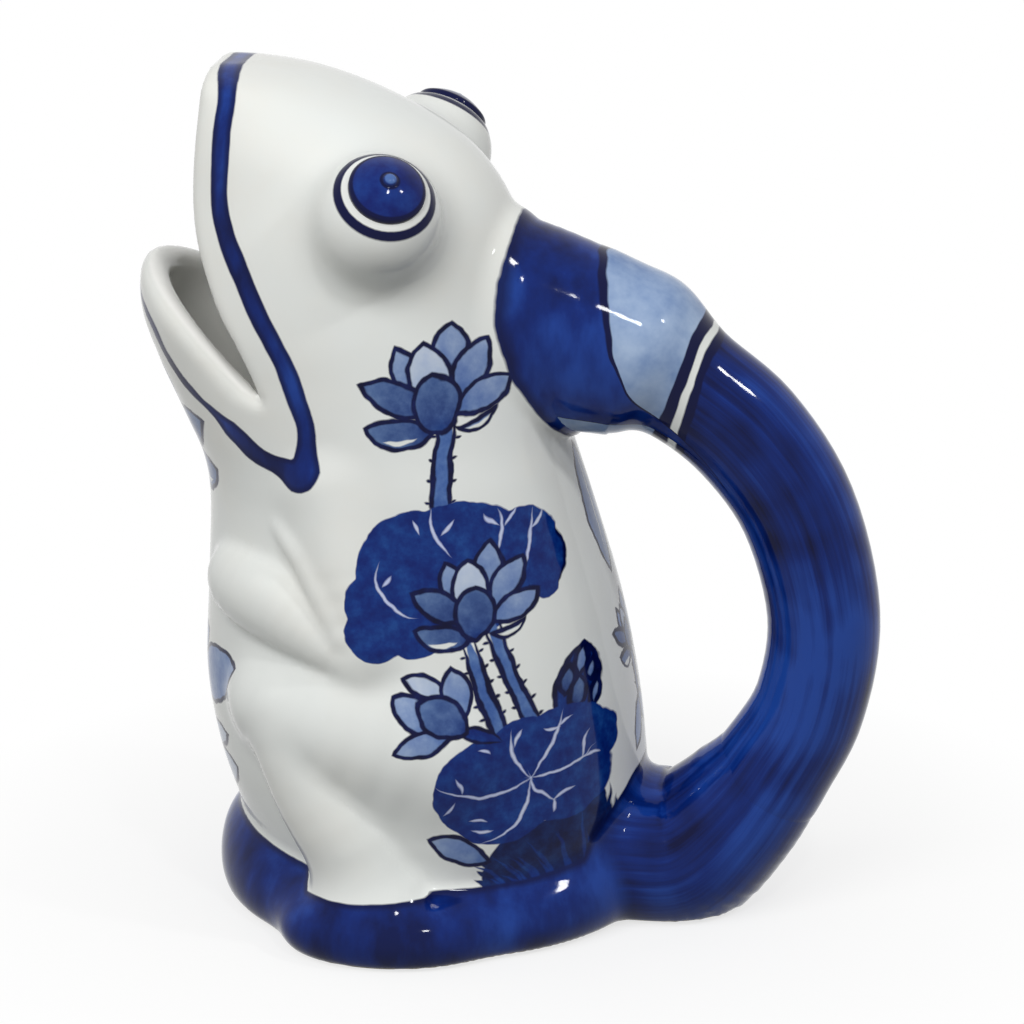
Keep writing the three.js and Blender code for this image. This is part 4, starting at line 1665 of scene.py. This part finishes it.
@dataclass
class HandleLoop:
    """The bow of the handle from the pale bulb to the foot, swept along its path."""

    path: HandlePath
    shift: float
    first: float = 1.34
    last: float = 9.66
    steps: int = 150
    sides: int = 72
    # By row of the path: how far the loop stands out over the path's own sections.
    margins: Rows = (
        (1.34, -1.3), (1.55, 0.15), (2.6, 0.1), (4, -0.25), (6, -0.45), (8, -0.45), (8.6, 0), (9, 0.12),
        (9.3, 0.1), (9.66, -1.4),
    )
    end_share: float = 0.4995
    weld_mm: float = 0.01
    # The paint's edges, in rows of the path: how they waver, tilt and slant round the bulb.
    waver_mm: float = 16.0
    waver: float = 0.22
    tilt: float = 0.28
    slant: Triple = (1.23, -2.36, 1.95)
    underside: Pair = (-12.0, -5.8)
    sharp: float = 40.0
    mottle_mm: float = 14.0
    bulb_paint: tuple[tuple[float, str], ...] = ((0.32, "#6C88B6"), (0.7, "#A6BAD6"))

    def tree(self) -> Tree:
        """Builds the sweep: a grid whose rows are laid round the path as ovals.

        Returns:
            The tree.
        """
        tree = bpy.data.node_groups.new("handle_sweep", "GeometryNodeTree")
        for label, kind in (("Path", "Geometry"), ("Steps", "Int"), ("Sides", "Int"), ("Glaze", "Material")):
            tree.interface.new_socket(label, in_out="INPUT", socket_type="NodeSocket" + kind)
        tree.interface.new_socket("Loop", in_out="OUTPUT", socket_type="NodeSocketGeometry")
        given = add_node(tree, "NodeGroupInput").outputs
        curve = add_node(tree, "GeometryNodeMeshToCurve", {"Mesh": given["Path"]}).outputs["Curve"]
        rows, columns = (
            add_node(tree, "ShaderNodeMath", {0: given[label], 1: 1.0}, operation="ADD").outputs[0]
            for label in ("Steps", "Sides")
        )
        sheet = {"Size X": 1.0, "Size Y": 1.0, "Vertices X": rows, "Vertices Y": columns}
        shape = add_node(tree, "GeometryNodeMeshGrid", sheet).outputs["Mesh"]
        spot = add_node(tree, "GeometryNodeInputPosition").outputs[0]
        where = add_node(tree, "ShaderNodeSeparateXYZ", {0: spot}).outputs
        along = add_node(tree, "ShaderNodeMath", {0: where["X"], 1: 0.5}, operation="ADD", use_clamp=True).outputs[0]
        angle = add_node(tree, "ShaderNodeMath", {0: where["Y"], 1: math.tau}, operation="MULTIPLY").outputs[0]
        read = {}
        for label in ("tall", "wide", "knot", "reach"):
            named = add_node(tree, "GeometryNodeInputNamedAttribute", {"Name": label}, data_type="FLOAT")
            wanted = {"Curves": curve, "Value": named.outputs["Attribute"], "Factor": along}
            sample = add_node(tree, "GeometryNodeSampleCurve", wanted, mode="FACTOR", data_type="FLOAT").outputs
            read[label] = sample["Value"]
        sideways = (0.0, 1.0, 0.0)
        pair = {0: sample["Tangent"], 1: sideways}
        outward = add_node(tree, "ShaderNodeVectorMath", pair, operation="CROSS_PRODUCT").outputs[0]
        ends = add_node(tree, "ShaderNodeMath", {0: along, 1: 0.5}, operation="SUBTRACT").outputs[0]
        ends = add_node(tree, "ShaderNodeMath", {0: ends}, operation="ABSOLUTE").outputs[0]
        closed = add_node(tree, "ShaderNodeMath", {0: ends, 1: self.end_share}, operation="LESS_THAN").outputs[0]
        waves, offsets = [], []
        for label, turn, axis in (("tall", "COSINE", outward), ("wide", "SINE", sideways)):
            waves.append(add_node(tree, "ShaderNodeMath", {0: angle}, operation=turn).outputs[0])
            size = add_node(tree, "ShaderNodeMath", {0: waves[-1], 1: read[label]}, operation="MULTIPLY").outputs[0]
            size = add_node(tree, "ShaderNodeMath", {0: size, 1: closed}, operation="MULTIPLY").outputs[0]
            offset = add_node(tree, "ShaderNodeVectorMath", {0: axis, "Scale": size}, operation="SCALE")
            offsets.append(offset.outputs[0])
        around = add_node(tree, "ShaderNodeVectorMath", dict(enumerate(offsets)), operation="ADD").outputs[0]
        place = {0: sample["Position"], 1: around}
        place = add_node(tree, "ShaderNodeVectorMath", place, operation="ADD").outputs[0]
        marks = {"X": read["reach"], "Y": waves[0], "Z": waves[1]}
        marks = add_node(tree, "ShaderNodeCombineXYZ", marks).outputs[0]
        for label, value, kind in (("stroke", marks, "FLOAT_VECTOR"), ("along", read["knot"], "FLOAT")):
            kept = {"Geometry": shape, "Name": label, "Value": value}
            shape = add_node(tree, "GeometryNodeStoreNamedAttribute", kept, data_type=kind).outputs["Geometry"]
        for kind, extra in (
            ("GeometryNodeSetPosition", {"Position": place}),
            ("GeometryNodeMergeByDistance", {"Distance": self.weld_mm * MM}),
            ("GeometryNodeSetShadeSmooth", {}),
            ("GeometryNodeRealizeInstances", {}),
            ("GeometryNodeSetMaterial", {"Material": given["Glaze"]}),
        ):
            shape = add_node(tree, kind, {"Geometry": shape, **extra}).outputs["Geometry"]
        add_node(tree, "NodeGroupOutput", {0: shape})
        return tree

    def material(self) -> bpy.types.Material:
        """Builds the handle's finish: a pale bulb, a white ring between dark lines, and a streaky dark grip.

        Returns:
            The material.
        """
        glaze = Glaze("cobalt_painted_earthenware")
        made, tree = glaze.tree()
        spot = add_node(tree, "ShaderNodeTexCoord").outputs["Object"]
        stroke = add_node(tree, "ShaderNodeAttribute", attribute_name="stroke").outputs["Vector"]
        knot = add_node(tree, "ShaderNodeAttribute", attribute_name="along").outputs["Fac"]
        shaken = {"Vector": spot, "Scale": 1 / (self.waver_mm * MM), "Detail": 2.0}
        waver = add_node(tree, "ShaderNodeTexNoise", shaken).outputs["Fac"]
        moved = {0: waver, 1: self.waver, 2: knot}
        place = add_node(tree, "ShaderNodeMath", moved, operation="MULTIPLY_ADD").outputs[0]
        wash = CobaltWash()
        colour, root = wash.along_grip(tree), wash.dabbed(tree, spot)
        spots = {"Vector": spot, "Scale": 1 / (self.mottle_mm * MM), "Detail": 4.0, "Roughness": 0.6}
        mottle = add_node(tree, "ShaderNodeTexNoise", spots).outputs["Fac"]
        bulb = add_node(tree, "ShaderNodeValToRGB", {"Fac": mottle})
        for element, (position, paint) in zip(bulb.color_ramp.elements, self.bulb_paint):
            element.position, element.color = position, linear(paint)
        across = add_node(tree, "ShaderNodeSeparateXYZ", {0: stroke}).outputs["Y"]
        slanted = self.slant[0]
        for term in (*self.slant[1:], place):
            terms = {0: across, 1: slanted, 2: term}
            slanted = add_node(tree, "ShaderNodeMath", terms, operation="MULTIPLY_ADD").outputs[0]
        steep, start = self.underside
        under = add_node(tree, "ShaderNodeMath", {0: across, 1: steep, 2: start}, operation="MULTIPLY_ADD").outputs[0]
        slanted = add_node(tree, "ShaderNodeMath", {0: slanted, 1: under}, operation="MAXIMUM").outputs[0]
        tilted = {0: across, 1: self.tilt, 2: place}
        tilted = add_node(tree, "ShaderNodeMath", tilted, operation="MULTIPLY_ADD").outputs[0]
        line, ring = linear(Tone.LINE.value), linear(Tone.BARE.value)
        for reach, end, paint in (
            (tilted, 4.4, line), (tilted, 4.26, ring), (tilted, 4.13, line), (tilted, 3.9, bulb.outputs["Color"]),
            (slanted, 2.56, line), (slanted, 2.46, root),
        ):
            fade = {0: reach, 1: -self.sharp, 2: self.sharp * end + 0.5}
            cover = add_node(tree, "ShaderNodeMath", fade, operation="MULTIPLY_ADD", use_clamp=True).outputs[0]
            layers = {"Factor": cover, 6: colour, 7: paint}
            colour = add_node(tree, "ShaderNodeMix", layers, data_type="RGBA").outputs[2]
        glaze.finish(tree, colour)
        return made

    def build(self) -> bpy.types.Object:
        """Sweeps the loop and makes it a plain mesh.

        Returns:
            The piece.
        """
        first, last = (round(v * self.path.steps) for v in (self.first, self.last))
        line = self.path.path[first : last + 1]
        points = np.column_stack([line[:, 0] + self.shift, np.zeros(len(line)), line[:, 1]])
        guide = mesh_object("handle_path", points, [])
        guide.data.edges.add(len(line) - 1)
        guide.data.edges.foreach_set("vertices", [v for i in range(len(line) - 1) for v in (i, i + 1)])
        knot = np.arange(first, last + 1) / self.path.steps
        margin = np.interp(knot, *zip(*self.margins))
        store(guide, "tall", (line[:, 2] + margin) * MM)
        store(guide, "wide", (line[:, 3] + margin) * MM)
        store(guide, "knot", knot)
        store(guide, "reach", self.path.reach[first : last + 1] * MM)
        tree = self.tree()
        sweep = guide.modifiers.new("sweep", "NODES")
        sweep.node_group = tree
        slots = {item.name: item.identifier for item in tree.interface.items_tree if item.in_out == "INPUT"}
        for label, value in (("Steps", self.steps), ("Sides", self.sides), ("Glaze", self.material())):
            sweep[slots[label]] = value
        evaluated = guide.evaluated_get(bpy.context.evaluated_depsgraph_get())
        data = bpy.data.meshes.new_from_object(evaluated)
        bpy.data.objects.remove(guide)
        data.name = "handle_loop"
        piece = bpy.data.objects.new("handle_loop", data)
        bpy.context.scene.collection.objects.link(piece)
        return piece


@dataclass
class EyeDisc:
    """A domed blue eye with a small ringed knob, turned on its own axis."""

    clay: ClayBody
    shift: float
    hand: int
    radius: float = 10.3
    edge: float = 0.5
    dome: float = 4.5
    knob: float = 1.9
    knob_rise: float = 1.1
    knob_sink: float = 0.1
    knob_moat: float = 1.3
    rim_inset: float = 0.35
    dome_spread: float = 0.8
    dome_rows: int = 15
    knob_rows: int = 8
    top_rise: float = 0.02
    sides: int = 64
    streak_mm: Triple = (6, 6, 6)
    contrast: float = 0.9
    rings: tuple[tuple[Pair, Tone], ...] = (
        ((10.6, 1.3), Tone.LINE), ((2.3, 0.45), Tone.LINE), ((0.4, 1.1), Tone.WASH),
    )

    def profile(self) -> list[Pair]:
        """Draws the disc from its underside over the dome to the knob.

        Returns:
            Radius and height of each row, in mm.
        """
        line = [(self.radius - 0.6, -1.6), (self.radius, -1.0), (self.radius, self.edge * 0.55)]
        inner = self.knob * self.knob_moat
        for i in range(self.dome_rows):
            turn = i / (self.dome_rows - 1) * math.pi / 2
            radius = inner + (self.radius - self.rim_inset - inner) * math.cos(turn) ** self.dome_spread
            line.append((radius, self.edge + (self.dome - self.edge) * (1 - (radius / self.radius) ** 2)))
        foot = self.dome - self.knob_sink
        for i in range(self.knob_rows):
            turn = i / self.knob_rows * math.pi / 2
            line.append((self.knob * math.cos(turn), foot + self.knob_rise * math.sin(turn)))
        return line

    def build(self) -> bpy.types.Object:
        """Turns the profile round the eye's axis.

        Returns:
            The piece.
        """
        axis = Vector(tuple(self.clay.eye_axis * np.array([1, self.hand, 1])))
        one = axis.orthogonal().normalized()
        two = axis.cross(one)
        foot = Vector(self.clay.eye_centre)
        foot.y *= self.hand
        foot.x += self.shift
        line = self.profile()
        points = [foot + axis * line[0][1]]
        for radius, height in line:
            for i in range(self.sides):
                turn = math.tau * i / self.sides
                points.append(foot + (one * math.cos(turn) + two * math.sin(turn)) * radius + axis * height)
        points.append(foot + axis * (line[-1][1] + self.top_rise))
        top = len(points) - 1
        n = self.sides
        faces = [(0, 1 + (i + 1) % n, 1 + i) for i in range(n)]
        for row in range(len(line) - 1):
            a, b = 1 + row * n, 1 + (row + 1) * n
            faces += [(a + i, a + (i + 1) % n, b + (i + 1) % n, b + i) for i in range(n)]
        last = 1 + (len(line) - 1) * n
        faces += [(last + i, last + (i + 1) % n, top) for i in range(n)]
        name = "left_eye_disc" if self.hand < 0 else "right_eye_disc"
        piece = mesh_object(name, np.array([tuple(p) for p in points]), faces)
        radial = [0.0] + [r for r, _ in line for _ in range(n)] + [0.0]
        store(piece, "radius", np.array(radial))
        piece.data.materials.append(bpy.data.materials.get("cobalt_eye_glaze") or self.material())
        return piece

    def material(self) -> bpy.types.Material:
        """Builds the eye's finish: brushed cobalt with a dark edge and a pale, ringed knob.

        Returns:
            The material.
        """
        glaze = Glaze("cobalt_eye_glaze")
        made, tree = glaze.tree()
        spot = add_node(tree, "ShaderNodeTexCoord").outputs["Object"]
        radius = add_node(tree, "ShaderNodeAttribute", attribute_name="radius").outputs["Fac"]
        colour = CobaltWash(full="#051C66", thin="#153A86").colour(tree, spot, self.streak_mm, self.contrast)
        for ring, tone in self.rings:
            colour = lay_ring(tree, radius, ring, tone, colour)
        glaze.finish(tree, colour)
        return made


@dataclass(frozen=True)
class Softbox:
    """A flat studio lamp that faces the pitcher."""

    name: str
    azimuth: float
    elevation: float
    distance: float
    size: float
    power: float
    glints: bool = True


@dataclass
class Studio:
    """The white table, the soft lamps and the camera."""

    lamps: tuple[Softbox, ...] = (
        Softbox("key", -22, 40, 1.3, 0.9, 9.2, False),
        Softbox("spark", 30, 50, 1.3, 0.1, 2.0),
        Softbox("right", 72, 44, 1.3, 0.12, 2.9),
    )
    azimuth: float = 9.5
    elevation: float = 18.0
    distance: float = 1.2
    aim: Triple = (0.0001, 0.0, 0.1115)
    focal_px: float = 4317.0
    picture_px: int = 1024
    table_half_mm: float = 4000.0
    table_top_mm: float = -0.3
    table_lit: str = "#7C7C7A"
    table_seen: str = "#F8F8F7"
    table_near: float = 0.06
    table_far: float = 0.19
    table_glow: float = 0.72
    ambient: float = 0.36

    def toward(self, azimuth: float, elevation: float) -> Vector:
        """Direction from the pitcher to a place around it."""
        a, e = math.radians(azimuth), math.radians(elevation)
        return Vector((math.sin(a) * math.cos(e), -math.cos(a) * math.cos(e), math.sin(e)))

    def white(self, tree: Tree) -> Socket:
        """Adds the test for rays that see the plain white background.

        Args:
            tree: The tree of the world or of the table's material.

        Returns:
            1 for such a ray, or 0.
        """
        path = add_node(tree, "ShaderNodeLightPath").outputs
        seen = path["Is Camera Ray"]
        for label in ("Is Glossy Ray", "Is Transmission Ray"):
            seen = add_node(tree, "ShaderNodeMath", {0: seen, 1: path[label]}, operation="MAXIMUM").outputs[0]
        return seen

    def world(self) -> None:
        """Sets a white background and a plain level of light from all around."""
        made = bpy.data.worlds.new("studio_white")
        made.use_nodes = True
        made.node_tree.nodes.clear()
        tree = made.node_tree
        levels = {"Value": self.white(tree), "To Min": self.ambient, "To Max": 1.0}
        strength = add_node(tree, "ShaderNodeMapRange", levels).outputs["Result"]
        sky = add_node(tree, "ShaderNodeBackground", {"Color": linear("#FFFFFF"), "Strength": strength})
        add_node(tree, "ShaderNodeOutputWorld", {"Surface": sky.outputs[0]})
        bpy.context.scene.world = made

    def floor(self) -> None:
        """Lays the pale table that takes the pitcher's shadow and fades into the white around it."""
        half, top = self.table_half_mm, self.table_top_mm
        corners = [(-half, -half, top), (half, -half, top), (half, half, top), (-half, half, top)]
        table = mesh_object("table", np.array(corners), [(0, 1, 2, 3)])
        made = bpy.data.materials.new("white_table")
        made.use_nodes = True
        tree = made.node_tree
        tree.nodes.clear()
        seen = self.white(tree)
        cloths = {"Factor": seen, 6: linear(self.table_lit), 7: linear(self.table_seen)}
        cloth = add_node(tree, "ShaderNodeMix", cloths, data_type="RGBA").outputs[2]
        matt = add_node(tree, "ShaderNodeBsdfDiffuse", {"Color": cloth}).outputs[0]
        spot = add_node(tree, "ShaderNodeTexCoord").outputs["Object"]
        away = add_node(tree, "ShaderNodeVectorMath", {0: spot}, operation="LENGTH").outputs["Value"]
        fade = {"Value": away, "From Min": self.table_near, "From Max": self.table_far, "To Min": self.table_glow}
        faded = add_node(tree, "ShaderNodeMapRange", fade).outputs["Result"]
        share = add_node(tree, "ShaderNodeMath", {0: faded, 1: seen}, operation="MULTIPLY").outputs[0]
        paper = add_node(tree, "ShaderNodeEmission", {"Color": linear("#FFFFFF"), "Strength": 1.0}).outputs[0]
        ground = add_node(tree, "ShaderNodeMixShader", {0: share, 1: matt, 2: paper}).outputs[0]
        add_node(tree, "ShaderNodeOutputMaterial", {"Surface": ground})
        table.data.materials.append(made)

    def build(self) -> None:
        """Sets up the table, the lamps and the camera."""
        scene = bpy.context.scene
        scene.view_settings.view_transform = "Standard"
        self.world()
        self.floor()
        aim = Vector(self.aim)
        for lamp in self.lamps:
            data = bpy.data.lights.new(lamp.name, "AREA")
            data.shape = "DISK"
            data.size = lamp.size
            data.energy = lamp.power
            out = self.toward(lamp.azimuth, lamp.elevation)
            made = bpy.data.objects.new(lamp.name, data)
            made.location = aim + out * lamp.distance
            made.rotation_euler = out.to_track_quat("Z", "Y").to_euler()
            made.visible_glossy = lamp.glints
            scene.collection.objects.link(made)
        data = bpy.data.cameras.new("camera")
        data.lens = data.sensor_width * self.focal_px / self.picture_px
        camera = bpy.data.objects.new("camera", data)
        out = self.toward(self.azimuth, self.elevation)
        camera.location = aim + out * self.distance
        camera.rotation_euler = out.to_track_quat("Z", "Y").to_euler()
        scene.collection.objects.link(camera)
        scene.camera = camera


def main() -> None:
    """Builds the pitcher around its frame, and the studio around the pitcher."""
    logging.basicConfig(level=logging.INFO, format="%(message)s")
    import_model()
    Studio().build()
    clay = ClayBody()
    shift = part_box("lower_jaw")[1].x / MM - clay.upper_rim[0][0] + SLIP
    vessel = ("torso", "head", "lower_jaw", "base_plinth", "floor_disc", "handle_collar")
    limbs = ("front_leg", "hind_leg", "hind_foot", "eye_mound")
    paired = tuple(f"{side}_{part}" for side in ("left", "right") for part in limbs)
    pieces = (
        (GlazedBody(clay, shift).build(), "white_glaze", vessel + paired),
        (HandleLoop(clay.handle, shift).build(), "cobalt_glaze", ("handle_bulb", "handle_grip")),
        (EyeDisc(clay, shift, -1).build(), "cobalt_glaze", ("left_eye",)),
        (EyeDisc(clay, shift, 1).build(), "cobalt_glaze", ("right_eye",)),
    )
    for piece, slot, nodes in pieces:
        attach(piece, "root")
        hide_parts(*nodes)
        LOG.info("%s: %d faces, in place of %s", piece.name, len(piece.data.polygons), ", ".join(nodes))


if __name__ == "__main__":
    main()
